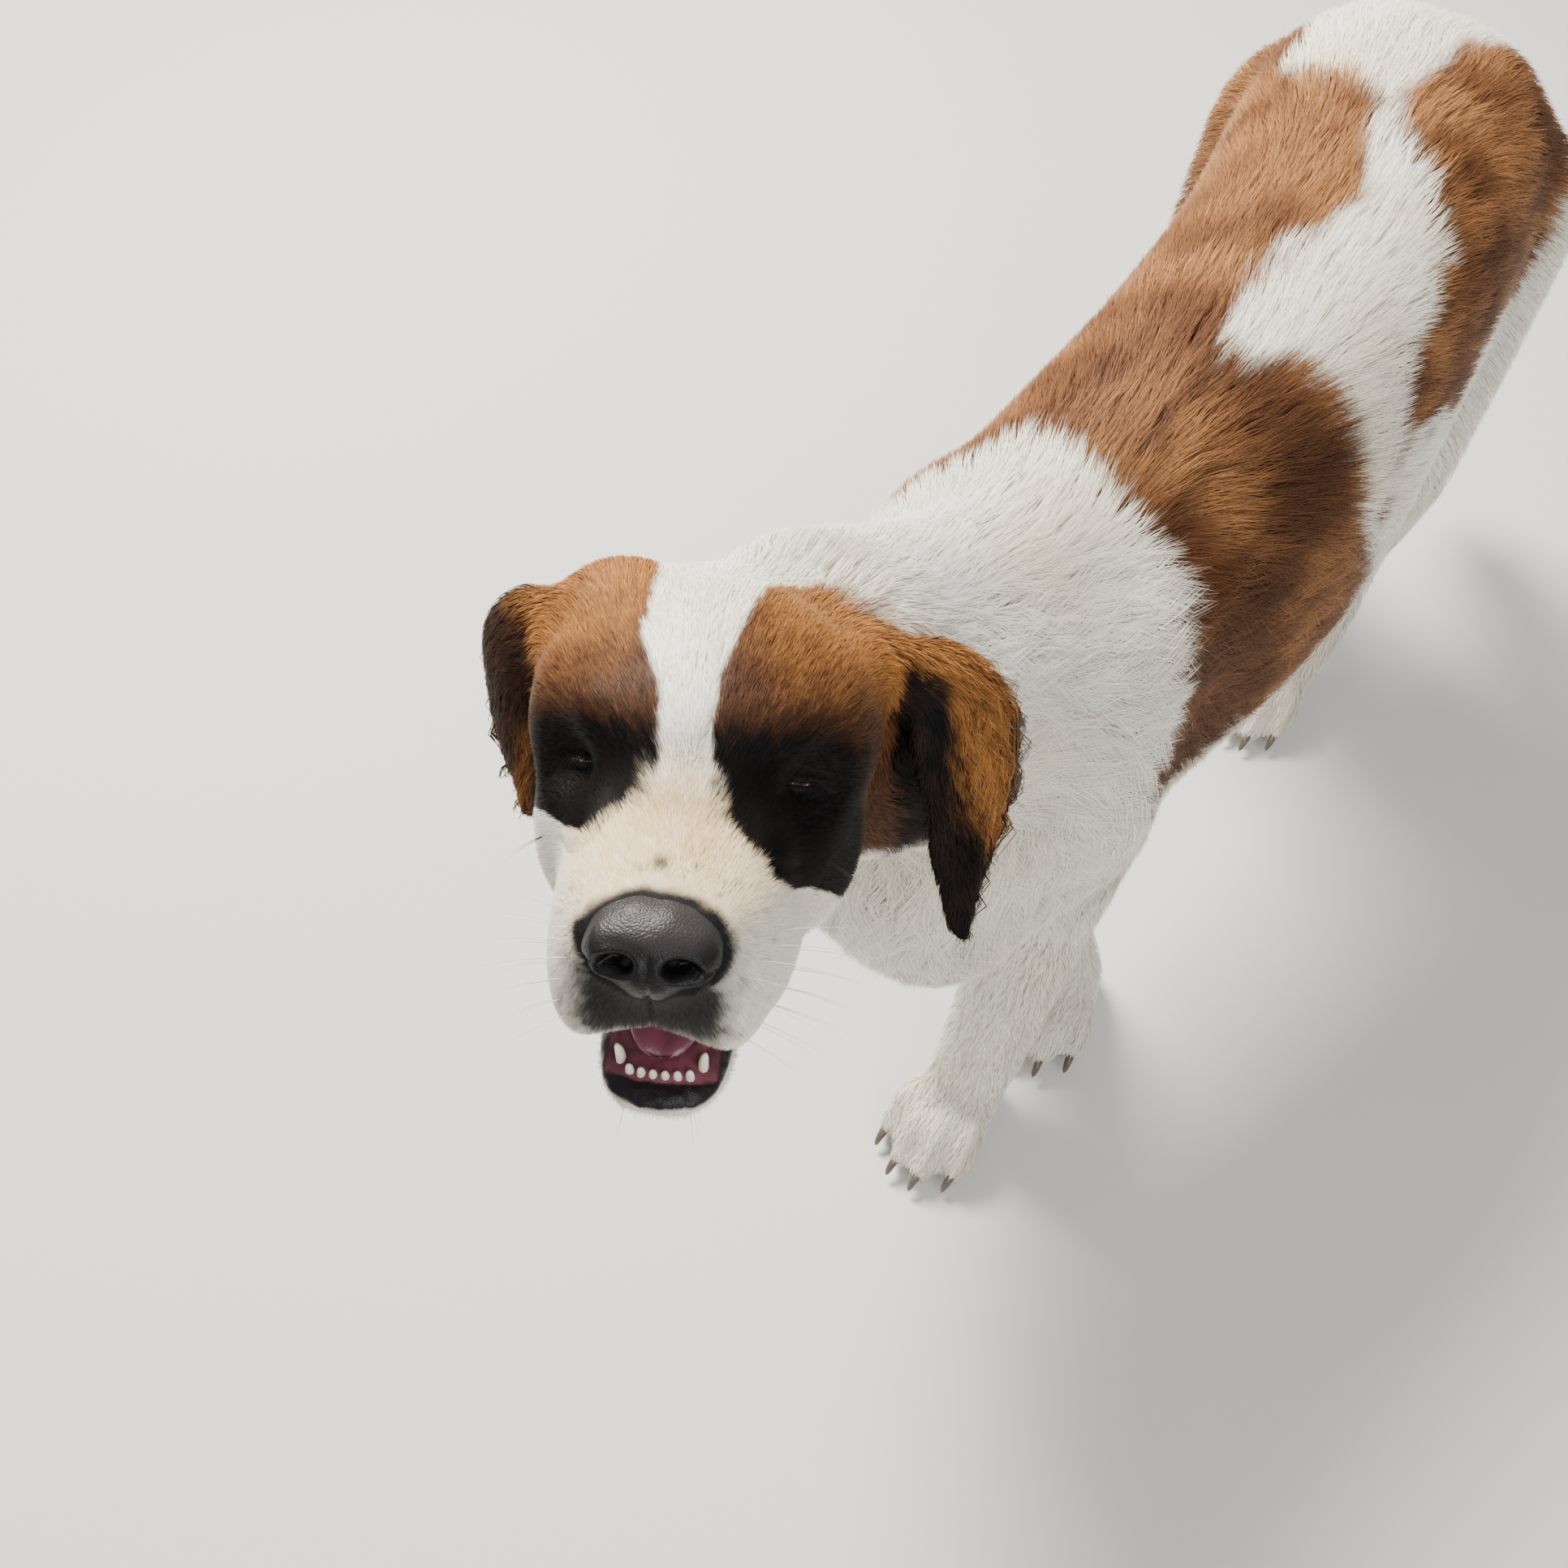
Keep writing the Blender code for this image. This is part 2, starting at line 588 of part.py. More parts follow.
def make_leg(name, leg, body, coats):
    """One leg's nodes below the trunk, cutting their room out of the body."""
    kind, side = name.split("_")
    sign = side_of(name)
    foot, facing = foot_form(name, leg, FOOT_WIDTH[kind])
    lower = leg_form(name, leg)
    joint = Vector((leg["wrist"] if kind == "fore" else leg["hock"])[0])
    # The foot takes over from the leg half way down the pastern
    level = joint.lerp(Vector(leg["pastern"][0]), 0.5).z
    combined(foot, cell(name + "_below", centre=(0, 0.3, level - 0.5), size=(2, 3, 1)), "INTERSECT")
    combined(lower, cell(name + "_above", centre=(0, 0.3, level - 0.5 + GAP), size=(2, 3, 1)), "DIFFERENCE")
    for toe in range(4):
        claw = claw_form(f"{name}_claw_{toe + 1}", toe, FOOT_WIDTH[kind] / 2, facing)
        combined(foot, swollen(claw, claw.name + "_clear", GAP), "DIFFERENCE")
        node(claw, claw.name, coats["claw"])
    node(foot, f"{kind}foot_{side}", coats["white"])
    if kind == "fore":
        top = Vector(leg["elbow"][0])
        top.z = ARMPIT_HEIGHT
        turned = dict(turn=(0, -sign * ARMPIT_RISE, 0))
        depth = 0.5
        down = Euler((0, math.radians(-sign * ARMPIT_RISE), 0)).to_matrix() @ Vector((0, 0, depth / 2))
        combined(lower, cell(name + "_arm", centre=top - down, size=(0.6, 0.7, depth), **turned), "INTERSECT")
        short = down * 0.2
        combined(body, cell(name + "_clear", centre=top - short, size=(0.15, 0.20, depth * 0.2), grow=GAP, **turned), "DIFFERENCE")
        node(lower, f"foreleg_{side}", coats["white"])
    else:
        combined(lower, cell(name + "_shank", centre=(0, 0.5, THIGH_HEIGHT - 0.5), size=(2, 2, 1)), "INTERSECT")
        node(lower, f"shank_{side}", coats["white"])


def make_body(coats):
    form = body_form()
    for name, leg in LEGS.items():
        make_leg(name, leg, form, coats)
    combined(form, cell("front_clear", centre=(0, -0.05, 0.140), size=(0.8, 0.6, 0.30), grow=GAP), "DIFFERENCE")
    combined(form, cell("rear_clear", centre=(0, 0.430, THIGH_HEIGHT - 0.15), size=(0.8, 0.47, 0.30), grow=GAP), "DIFFERENCE")
    for side, sign, middle in (("left", 1, 0.137), ("right", -1, 0.158)):
        part_off(
            form, f"thigh_{side}", coats["brown"], centre=(sign * middle, 0.500, 0.455),
            size=(0.130, 0.400, 0.280), turn=(0, sign * 10, 0),
        )
    part_off(form, "tail_tip", coats["white"], centre=(0.03, 0.81, 0.15), size=(0.3, 0.30, 0.4))
    part_off(
        form, "tail_root", coats["white"], centre=(0.002, 0.742, 0.48), size=(0.13, 0.2, 0.44), turn=(-26, 0, 0),
    )
    part_off(form, "hindquarters", coats["brown"], centre=(0, 0.700, 0.5), size=(0.8, 0.6, 1))
    part_off(form, "ribcage", coats["brown"], centre=(0, 0.2397, 0.5), size=(0.8, 0.32, 1))
    part_off(form, "forechest", coats["white"], centre=(0, 0.00, 0.37), size=(0.8, 0.34, 0.72), turn=(-35, 0, 0))
    return node(form, "neck", coats["white"])


def make_head(coats):
    form = head_form()
    nose = nose_form()
    jaw = jaw_form()
    tongue = tongue_form()
    combined(form, swollen(nose, "nose_clear", GAP), "DIFFERENCE")
    mouth = bmesh.new()
    ball(mouth, (0, -0.032, -0.077), (0.0265, 0.054, 0.024), (8, 0, 0))
    mouth.transform(HEAD)
    combined(form, guide("mouth", mouth), "DIFFERENCE")
    combined(form, swollen(jaw, "jaw_clear", GAP), "DIFFERENCE")
    combined(jaw, swollen(tongue, "tongue_clear", GAP), "DIFFERENCE")
    for side, sign in (("left", 1), ("right", -1)):
        eye(form, f"eye_{side}", sign, coats["eye"])
    ears = (("left", 1, 1.0, 0.94, 0.010, 0.0, 1.0), ("right", -1, 0.45, 0.68, -0.028, 0.008, 0.90))
    for side, sign, *shape in ears:
        ear = ear_form(f"ear_{side}", sign, *shape)
        combined(ear, swollen(form, f"ear_{side}_clear", GAP), "DIFFERENCE")
        node(ear, f"ear_{side}", coats["black"])
    node(nose, "nose", coats["nose"])
    node(jaw, "lower_jaw", coats["white"])
    node(tongue, "tongue", coats["pink"])
    return node(form, "head", coats["brown"])


def centred():
    """Moves the dog so that the origin is the middle of its footprint on the ground."""
    corners = [made.matrix_world @ vert.co for made in DOG.objects for vert in made.data.vertices]
    low = Vector([min(corner[axis] for corner in corners) for axis in range(3)])
    high = Vector([max(corner[axis] for corner in corners) for axis in range(3)])
    middle = (low + high) / 2
    middle.z = 0.0
    for made in DOG.objects:
        made.data.transform(Matrix.Translation(-middle))


def main():
    coats = {
        "white": material("white_coat", WHITE_COAT, 0.75), "brown": material("brown_coat", BROWN_COAT, 0.7),
        "black": material("black_coat", BLACK_COAT, 0.65), "nose": material("nose_leather", NOSE_LEATHER, 0.4),
        "pink": material("mouth_pink", MOUTH_PINK, 0.35), "claw": material("claw_horn", CLAW_HORN, 0.45),
        "eye": material("eye", BLACK_COAT, 0.1),
    }
    neck = make_body(coats)
    head = make_head(coats)
    # The neck ends and the head begins at one slanted cut behind the skull
    nape = dict(centre=(-0.010, 0.020, 0.0), size=(0.5, 0.26, 0.5), frame=HEAD)
    combined(head, cell("nape_head", **nape), "INTERSECT")
    combined(neck, cell("nape_neck", grow=GAP, **nape), "DIFFERENCE")
    centred()


DOG, GUIDES = start()
main()
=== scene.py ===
"""Looks of a life-size Saint Bernard in mid-step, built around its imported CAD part.

One skin is drawn over the CAD's flesh and pulled in by the coat's depth. The coat is solid
blades in clumps that follow the lie of the hair, so it reaches back out to the CAD's outline.
"""

import itertools
import math
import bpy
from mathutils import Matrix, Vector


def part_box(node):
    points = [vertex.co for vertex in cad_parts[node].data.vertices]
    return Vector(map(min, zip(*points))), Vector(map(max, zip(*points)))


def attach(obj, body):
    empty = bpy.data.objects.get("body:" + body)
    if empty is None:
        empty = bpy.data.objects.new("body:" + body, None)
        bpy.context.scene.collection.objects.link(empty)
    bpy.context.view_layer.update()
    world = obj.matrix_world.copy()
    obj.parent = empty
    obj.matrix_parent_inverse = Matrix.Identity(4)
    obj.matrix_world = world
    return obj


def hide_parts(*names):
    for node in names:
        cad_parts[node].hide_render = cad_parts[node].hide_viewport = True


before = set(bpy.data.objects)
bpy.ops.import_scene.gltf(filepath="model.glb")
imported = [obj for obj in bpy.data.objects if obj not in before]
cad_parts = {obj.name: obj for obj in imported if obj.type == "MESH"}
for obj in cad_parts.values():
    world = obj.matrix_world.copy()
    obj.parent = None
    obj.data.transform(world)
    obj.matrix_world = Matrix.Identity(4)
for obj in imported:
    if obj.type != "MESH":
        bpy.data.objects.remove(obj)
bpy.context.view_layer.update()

from types import SimpleNamespace

import bmesh
import bpy
import numpy as np
from mathutils import Euler, Matrix, Vector
from mathutils.bvhtree import BVHTree

bl_info = {
    "name": "Saint Bernard looks",
    "version": (1, 0, 0),
    "blender": (4, 5, 0),
    "location": "3D View > Sidebar > Dog",
    "description": "Skin, coat and face of a life-size Saint Bernard",
    "category": "Object",
}

# The dog's own frame: +Z up, it faces -Y, its left is +X. The row frame is this one shifted.
SHIFT = np.array((0.02084, -0.16324, 0.0))
HEAD_AT = np.array((-0.015, -0.356, 0.744))
HEAD_TURN = np.array(Euler([math.radians(a) for a in (-30.4, 1.3, 28.9)], "XYZ").to_matrix())
JAW_HINGE = np.array((0.0, 0.060, -0.050))
JAW_TURN = np.array(Euler((math.radians(22), 0.0, 0.0), "XYZ").to_matrix())

FLESH = [
    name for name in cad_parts
    if "claw" not in name and not name.startswith("eye") and name not in ("nose", "tongue")
]

# Leg joints from the elbow or stifle down
LIMBS = {
    "fore_left": (
        (0.055, -0.020, 0.345), (0.052, -0.044, 0.255),
        (0.048, -0.078, 0.130), (0.045, -0.094, 0.065),
    ),
    "fore_right": (
        (-0.074, 0.000, 0.345), (-0.044, 0.016, 0.255),
        (0.018, 0.046, 0.130), (0.044, 0.048, 0.065),
    ),
    "hind_left": (
        (0.090, 0.425, 0.395), (0.084, 0.480, 0.290),
        (0.078, 0.546, 0.180), (0.070, 0.500, 0.065),
    ),
    "hind_right": (
        (-0.104, 0.470, 0.382), (-0.102, 0.555, 0.285),
        (-0.098, 0.650, 0.188), (-0.092, 0.656, 0.065),
    ),
}
# Where each foot stands, and its turn in degrees
FEET = {
    "fore_left": ((0.043, -0.112, 0.0), 3.0), "fore_right": ((0.060, 0.034, 0.0), -8.0),
    "hind_left": ((0.066, 0.458, 0.0), 2.0), "hind_right": ((-0.090, 0.626, 0.0), 8.0),
}
TAIL = (
    (-0.012, 0.595, 0.600), (-0.008, 0.668, 0.548), (0.006, 0.712, 0.450), (0.026, 0.728, 0.345),
    (0.042, 0.742, 0.250), (0.054, 0.775, 0.180), (0.060, 0.802, 0.158),
)

# The lie of the coat: a place, the way the hair runs, its length and the coat's depth in mm
MIDLINE_LIE = (
    ((-0.01, -0.04, 0.66), (0, 1, -0.10), 34, 12), ((0.02, 0.15, 0.68), (0, 1, -0.05), 36, 12),
    ((0.02, 0.35, 0.68), (0, 1, 0), 34, 12), ((0, 0.50, 0.68), (0, 1, -0.10), 36, 13),
    ((-0.01, 0.62, 0.62), (0, 1, -0.8), 44, 14), ((0.02, 0.20, 0.33), (0, 1, 0), 34, 11),
    ((-0.02, -0.21, 0.47), (0, -0.1, -1), 44, 15), ((-0.01, -0.21, 0.36), (0, 0.3, -1), 42, 13),
    ((-0.04, -0.28, 0.60), (0, 0.25, -1), 34, 10), ((-0.02, -0.06, 0.33), (0, 0.5, -0.6), 30, 10),
    ((-0.06, -0.21, 0.74), (0.1, 1, -0.35), 28, 8), ((-0.03, -0.11, 0.68), (0.05, 1, -0.3), 34, 11),
)
PAIRED_LIE = (
    ((0.09, 0.10, 0.62), (0.25, 1, -0.45), 36, 12), ((0.09, 0.40, 0.62), (0.25, 1, -0.45), 36, 12),
    ((0.125, 0.10, 0.50), (0, 1, -0.55), 34, 12), ((0.125, 0.30, 0.50), (0, 1, -0.5), 34, 12),
    ((0.13, 0.52, 0.50), (0, 0.8, -1), 34, 12), ((0.09, 0.12, 0.36), (-0.2, 1, -0.5), 36, 11),
    ((0.09, 0.30, 0.39), (-0.2, 1, -0.3), 36, 11), ((0.10, -0.05, 0.48), (0, 0.5, -1), 32, 11),
    ((0.10, -0.05, 0.58), (0.1, 0.8, -0.7), 34, 11), ((0.07, -0.14, 0.42), (0, 0.2, -1), 34, 12),
    ((0.05, -0.18, 0.62), (0.1, 0.9, -0.8), 32, 10), ((0.04, -0.25, 0.64), (0.1, 0.8, -0.8), 28, 8),
    ((0.11, 0.42, 0.42), (0, 0.5, -1), 28, 9), ((0.075, 0.65, 0.46), (0, 0.5, -1), 50, 14),
    ((0.070, 0.64, 0.37), (0, 0.3, -1), 48, 13), ((0.10, 0.60, 0.40), (0, 0.4, -1), 40, 12),
)
HEAD_LIE = (
    ((0.012, -0.085, -0.006), (0.15, 1, 0.1), 5, 2.4),
    ((0.012, -0.045, 0.000), (0.15, 1, 0.25), 6, 2.4),
    ((0.010, -0.020, 0.020), (0.1, 1, 0.8), 7, 2.8),
    ((0.015, 0.030, 0.058), (0.12, 1, 0.25), 10, 3.5),
    ((0.020, 0.090, 0.068), (0.1, 1, -0.1), 15, 4.5),
    ((0.030, 0.140, 0.060), (0.1, 1, -0.2), 24, 7), ((0.045, 0.000, 0.035), (0.5, 1, 0.6), 8, 3),
    ((0.070, 0.050, 0.030), (0.2, 1, 0), 12, 4),
    ((0.055, -0.012, -0.020), (0.35, 1, -0.35), 6, 2.5),
    ((0.070, 0.020, 0.000), (0.2, 1, -0.1), 8, 3),
    ((0.080, 0.050, -0.040), (0.1, 1, -0.6), 14, 5),
    ((0.070, 0.070, -0.085), (0, 1, -0.6), 22, 7),
    ((0.045, -0.050, -0.040), (0.1, 1, -0.4), 6, 2.5),
    ((0.042, -0.060, -0.085), (0, 0.8, -1), 7, 2.4),
    ((0.050, -0.010, -0.100), (0, 1, -0.8), 9, 3),
    ((0.020, -0.106, -0.055), (0.6, 0.2, -1), 5, 2),
    ((0.010, -0.070, -0.130), (0, 0.8, -0.9), 12, 3),
    ((0.028, -0.040, -0.120), (0.1, 1, -0.5), 12, 3),
    ((0.020, 0.050, -0.130), (0, 1, -0.7), 26, 6),
    ((0.090, 0.100, 0.030), (0.8, 0, -0.4), 13, 2.6),
    ((0.125, 0.090, -0.010), (0.15, -0.05, -1), 15, 2.2),
    ((0.145, 0.115, -0.030), (0.2, 0.25, -1), 27, 2.4),
    ((0.120, 0.070, -0.070), (0.05, -0.05, -1), 15, 2.0),
    ((0.095, 0.070, -0.020), (-0.1, -0.2, -1), 10, 2.0),
)

# Outlines of the markings: how far back, and degrees round from the spine to the dog's left
SADDLE = (
    (-0.004, 4), (-0.013, 12), (-0.015, 23), (-0.022, 35), (-0.040, 46), (-0.050, 54),
    (-0.067, 66), (-0.088, 80), (-0.075, 100), (-0.02, 118), (0.10, 124), (0.25, 120),
    (0.36, 108), (0.43, 95), (0.49, 66), (0.55, 58), (0.60, 45), (0.60, 24), (0.53, 9), (0.45, 4),
    (0.40, -2), (0.41, -8), (0.44, -30), (0.51, -33), (0.58, -38), (0.62, -56), (0.60, -80),
    (0.50, -96), (0.40, -112), (0.25, -122), (0.10, -124), (-0.02, -118), (-0.07, -98),
    (-0.06, -75), (-0.045, -39), (0.008, -18),
)
WHITE_PATCHES = (
    (
        (0.120, 2), (0.161, -2), (0.194, -2), (0.235, 0), (0.280, 3), (0.323, 1),
        (0.372, -3), (0.416, -6), (0.436, 2), (0.398, 1), (0.362, 2), (0.360, 9),
        (0.345, 17), (0.325, 22), (0.296, 27), (0.258, 30), (0.222, 32), (0.199, 38),
        (0.183, 47), (0.171, 54), (0.162, 66), (0.150, 74), (0.138, 66), (0.144, 51),
        (0.142, 36), (0.147, 27), (0.152, 21), (0.139, 16), (0.120, 10),
    ),
    (
        (0.180, 56), (0.206, 49), (0.235, 53), (0.270, 60), (0.310, 64), (0.360, 66),
        (0.430, 69), (0.487, 74), (0.51, 78), (0.48, 95), (0.46, 124), (0.34, 132),
        (0.21, 132), (0.165, 108), (0.150, 84), (0.158, 70), (0.168, 58),
    ),
)
# Radius of the trunk on which the outlines lie
AROUND = 0.13
TRUNK_HEIGHT = 0.50
# The trunk's middle by how far back it is
TRUNK_MIDDLE = (
    (-0.205, -0.08, 0.09, 0.21, 0.34, 0.45, 0.665),
    (-0.018, -0.014, 0.013, 0.025, 0.019, 0.004, -0.014),
)
# Half the blaze's width by how far back it is
BLAZE_BACK = (-0.03, -0.018, -0.004, 0.02, 0.06, 0.10, 0.14)
BLAZE_WIDE = {
    "left": (0.0120, 0.0095, 0.0095, 0.0145, 0.0190, 0.024, 0.045),
    "right": (0.0090, 0.0115, 0.0150, 0.0245, 0.0285, 0.030, 0.045),
}
# By height on the head: how far forward the patches reach, how far back the black mask does
PATCH_EDGE = {
    "left": (
        (-0.08, -0.065, -0.050, -0.037, -0.024, -0.016, -0.008, 0.0, 0.013),
        (0.050, 0.019, -0.005, -0.035, -0.051, -0.049, -0.044, -0.039, -0.031),
    ),
    "right": (
        (-0.06, -0.040, -0.028, -0.021, -0.014, -0.002, 0.015),
        (0.060, 0.030, -0.001, -0.030, -0.045, -0.038, -0.029),
    ),
}
MASK_BACK = (
    (-0.065, -0.039, 0.004, 0.012, 0.020, 0.028, 0.036),
    (0.060, 0.041, 0.019, 0.006, -0.008, -0.020, -0.028),
)
# Where the ear's black front ends and its brown locks begin, by height
EAR_FRONT = (
    (-0.095, -0.078, -0.055, -0.020, 0.020, 0.036),
    (0.260, 0.200, 0.160, 0.152, 0.144, 0.110),
)
SPOT_AT = (-0.002, -0.073, -0.009)
# The dog's underline below which the coat is white, by how far back it is
WHITE_BELOW = ((-0.1, 0.0, 0.1, 0.35, 0.45, 0.62), (0.40, 0.36, 0.34, 0.385, 0.43, 0.46))
# Half the width of the black under the nose, by height
CHIN_WIDE = ((-0.085, -0.060, -0.045), (0.029, 0.031, 0.032))
# Corners of the CAD's faces closer than this are one
JOIN = 1e-5
NOSE_VOXEL = 0.0013
# A hair's swelling closes the CAD's thin cuts
SWELLING = 0.0004
# The skin and the tips of hair and claws stay this far above the floor
SKIN_FLOOR = 0.0006
TIP_FLOOR = 0.0004
# Roots of the hair lie this deep in the skin, and each blade's unwrap is a patch this wide
ROOT_DEPTH = 0.0012
BLADE_PATCH = 0.003
# Hair ends in the skin's velvet and the tongue's papillae are this far apart
HAIR_ENDS = 0.000714
PAPILLAE = 0.000833
# How much the eyelids' slit bows, and how far it sags
SLIT_BOW = 9.0
SLIT_SAG = 0.0008


def linear(code):
    """A linear colour from an sRGB hex code."""
    parts = [int(code[i:i + 2], 16) / 255 for i in (0, 2, 4)]
    return np.array([c / 12.92 if c <= 0.04045 else ((c + 0.055) / 1.055) ** 2.4 for c in parts])


def step(low, high, value):
    """0 below low, 1 above high, and a smooth turn between."""
    t = np.clip((value - low) / (high - low), 0, 1)
    return t * t * (3 - 2 * t)


def bell(value, width):
    """1 at 0, falling off smoothly over the width."""
    return np.exp(-(value / width) ** 2)


def mix(a, b, share):
    return a + (b - a) * np.asarray(share)[..., None]


def noise(points, size, seed=0):
    """Smooth random values from -1 to 1 that change over about the size given."""
    q = points / size
    cell = np.floor(q).astype(np.int64)
    part = q - cell
    part = part * part * (3 - 2 * part)
    total = np.zeros(len(points))
    for corner in itertools.product((0, 1), repeat=3):
        c = cell + corner
        h = (c[:, 0] * 73856093) ^ (c[:, 1] * 19349663) ^ (c[:, 2] * 83492791) ^ (seed * 2654435761)
        h = ((h ^ (h >> 13)) * 1274126177) & 0x7FFFFFFF
        value = ((h ^ (h >> 15)) & 0xFFFF) / 32767.5 - 1
        total += value * np.prod(np.where(corner, part, 1 - part), axis=1)
    return total


def unit(vectors):
    return vectors / np.maximum(np.linalg.norm(vectors, axis=-1, keepdims=True), 1e-9)


def in_head(row_points):
    """Points of the row frame in the head's frame: x to the dog's left, y back, z up."""
    return (row_points - SHIFT - HEAD_AT) @ HEAD_TURN


def from_head(points):
    return np.asarray(points) @ HEAD_TURN.T + HEAD_AT + SHIFT


def in_jaw(head_points):
    """Points of the head's frame as they would be with the mouth shut."""
    return (head_points - JAW_HINGE) @ JAW_TURN + JAW_HINGE


def from_jaw(points):
    return from_head((np.asarray(points) - JAW_HINGE) @ JAW_TURN.T + JAW_HINGE)


def depth_in(points, centre, radii):
    """Below 1 inside the ellipsoid, above 1 outside."""
    return np.linalg.norm((points - np.array(centre)) / np.array(radii), axis=-1)


def outline_depth(points, outline):
    """How far each 2-D point lies inside the outline, negative outside."""
    corners = np.array(outline, float)
    nearest = np.full(len(points), 1e9)
    inside = np.zeros(len(points), bool)
    for a, b in zip(corners, np.roll(corners, -1, axis=0)):
        along = b - a
        t = np.clip((points - a) @ along / (along @ along), 0, 1)
        nearest = np.minimum(nearest, np.linalg.norm(points - a - t[:, None] * along, axis=1))
        above = (a[1] > points[:, 1]) != (b[1] > points[:, 1])
        cross = a[0] + (points[:, 1] - a[1]) * (b[0] - a[0]) / (b[1] - a[1] + 1e-12)
        inside ^= above & (points[:, 0] < cross)
    return np.where(inside, nearest, -nearest)


def on_trunk(dog):
    """How far back a point is and how far round the trunk, both in metres."""
    aside = dog[:, 0] - np.interp(dog[:, 1], *TRUNK_MIDDLE)
    return np.stack([dog[:, 1], np.arctan2(aside, dog[:, 2] - TRUNK_HEIGHT) * AROUND], 1)


def trunk_outline(outline):
    return [(back, math.radians(angle) * AROUND) for back, angle in outline]


def both_sides(guides):
    """Each guide on the right side and on the left."""
    for at, way, length, depth in guides:
        for side in (-1, 1):
            flip = np.array((side, 1, 1))
            yield np.array(at) * flip, np.array(way) * flip, length, depth


def lie_guides():
    """The guides of the lie, as arrays in the row frame: place, way, and sizes in metres."""
    rows = [(np.array(at), np.array(way), length, depth) for at, way, length, depth in MIDLINE_LIE]
    rows += both_sides(PAIRED_LIE)
    for name, joints in LIMBS.items():
        joints = [np.array(joint) for joint in joints]
        heel = np.array(FEET[name][0])
        joints.append(heel + (0, 0, 0.03))
        for k in range(4):
            way = unit(joints[k + 1] - joints[k])
            behind = (30, 20, 13, 10)[k] if name.startswith("fore") else (28, 22, 13, 10)[k]
            depth = (8, 6, 4.5, 4)[k]
            rows.append((joints[k] + (0, -0.045, 0), way, (20, 14, 9, 9)[k], depth))
            rows.append((joints[k] + (0, 0.045, 0), way + (0, 0.25, 0), behind, depth))
        rows.append((heel + (0, -0.030, 0.055), np.array((0, -1, -0.35)), 10, 3.5))
        rows.append((heel + (0, -0.065, 0.030), np.array((0, -0.8, -0.8)), 8, 3.0))
        rows.append((heel + (0, 0.030, 0.030), np.array((0, 0.1, -1)), 10, 3.5))
    path = [np.array(point) for point in TAIL]
    for k, (here, there) in enumerate(zip(path, path[1:] + path[-1:])):
        way = unit(there - here) if k < len(path) - 1 else unit(path[-1] - path[-2])
        length, depth = ((46, 13), (54, 15), (58, 17), (56, 17), (50, 14), (36, 9), (20, 4))[k]
        for aside in ((-0.04, 0, 0), (0.04, 0, 0), (0, 0.04, 0.01), (0, -0.04, -0.01)):
            rows.append((here + aside, way + np.array(aside) * 5, length, depth))
    places = [row[0] + SHIFT for row in rows]
    ways = [row[1] for row in rows]
    sizes = [row[2:] for row in rows]
    for at, way, length, depth in both_sides(HEAD_LIE):
        places.append(from_head(at))
        ways.append(way @ HEAD_TURN.T)
        sizes.append((length, depth))
    return np.array(places), unit(np.array(ways, float)), np.array(sizes, float) / 1000


def lie_at(points, guides):
    """The lie at each point: way, length and depth, from the nearest guides."""
    places, ways, sizes = guides
    way = np.zeros((len(points), 3))
    size = np.zeros((len(points), 2))
    for first in range(0, len(points), 20000):
        part = slice(first, first + 20000)
        gap = ((points[part, None, :] - places[None, :, :]) ** 2).sum(2)
        weight = 1 / (gap + 1e-5) ** 2.2
        weight /= weight.sum(1, keepdims=True)
        way[part] = weight @ ways
        size[part] = weight @ sizes
    return way, size[:, 0], size[:, 1]


def gap_to(name, points, reach):
    """Each point's distance from a CAD node's surface, negative inside, at most the reach."""
    tree = tree_of(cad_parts[name].data)
    low, high = (np.array(corner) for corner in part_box(name))
    gap = np.full(len(points), reach)
    for index in np.flatnonzero(((points > low - reach) & (points < high + reach)).all(1)):
        spot, over, _, away = tree.find_nearest(points[index].tolist())
        gap[index] = math.copysign(away, float((points[index] - np.array(spot)) @ np.array(over)))
    return gap


def mouth_share(head, reach=1.08):
    """1 inside the mouth, 0 outside it; a larger reach takes in the lips."""
    shut = in_jaw(head)
    tilt = math.radians(8)
    rel = head - (0, -0.032, -0.077)
    rel = np.stack([
        rel[:, 0], rel[:, 1] * math.cos(tilt) + rel[:, 2] * math.sin(tilt),
        rel[:, 2] * math.cos(tilt) - rel[:, 1] * math.sin(tilt)], 1)
    palate = depth_in(rel, (0, 0, 0), (0.0265, 0.054, 0.024))
    floor = depth_in(shut, (0, -0.020, -0.062), (0.0225, 0.058, 0.020))
    return 1 - step(reach, reach + 0.10, np.minimum(palate, floor))


def lip_share(head):
    """1 on the broad bare roll of the lower lip."""
    shut = in_jaw(head)
    x, y, z = shut.T
    roll = step(-0.0835, -0.0805, z + 0.0010 * noise(head, 0.006, 22)) * step(-0.055, -0.060, z)
    return roll * step(0.004, -0.012, y) * step(0.046, 0.042, np.abs(x)) * step(-0.110, -0.104, y)


def gum_share(head):
    """1 on the pink gum round the roots of the lower teeth."""
    x, y, z = in_jaw(head).T
    front = -0.0800 + 10.0 * x ** 2 + 0.0004 * noise(head, 0.003, 23)
    deep = step(-0.082, -0.079, z) * step(-0.060, -0.066, z) * step(-0.060, -0.070, head[:, 2])
    behind = step(-0.0006, 0.0008, y - front) * step(0.01, -0.01, y)
    return behind * step(0.0262, 0.0245, np.abs(x)) * deep


def lid_place(points, side):
    """How far along the eyelids' slit, up across it and out of the head; and its half height."""
    along, up, out = eye_axes(side)
    rel = points - EYES[side]
    u, v, w = rel @ along, rel @ up, rel @ out
    v = v + SLIT_SAG + SLIT_BOW * u * u
    return u, v, w, SLIT * np.clip(1 - (u / 0.0140) ** 2, 0, 1)


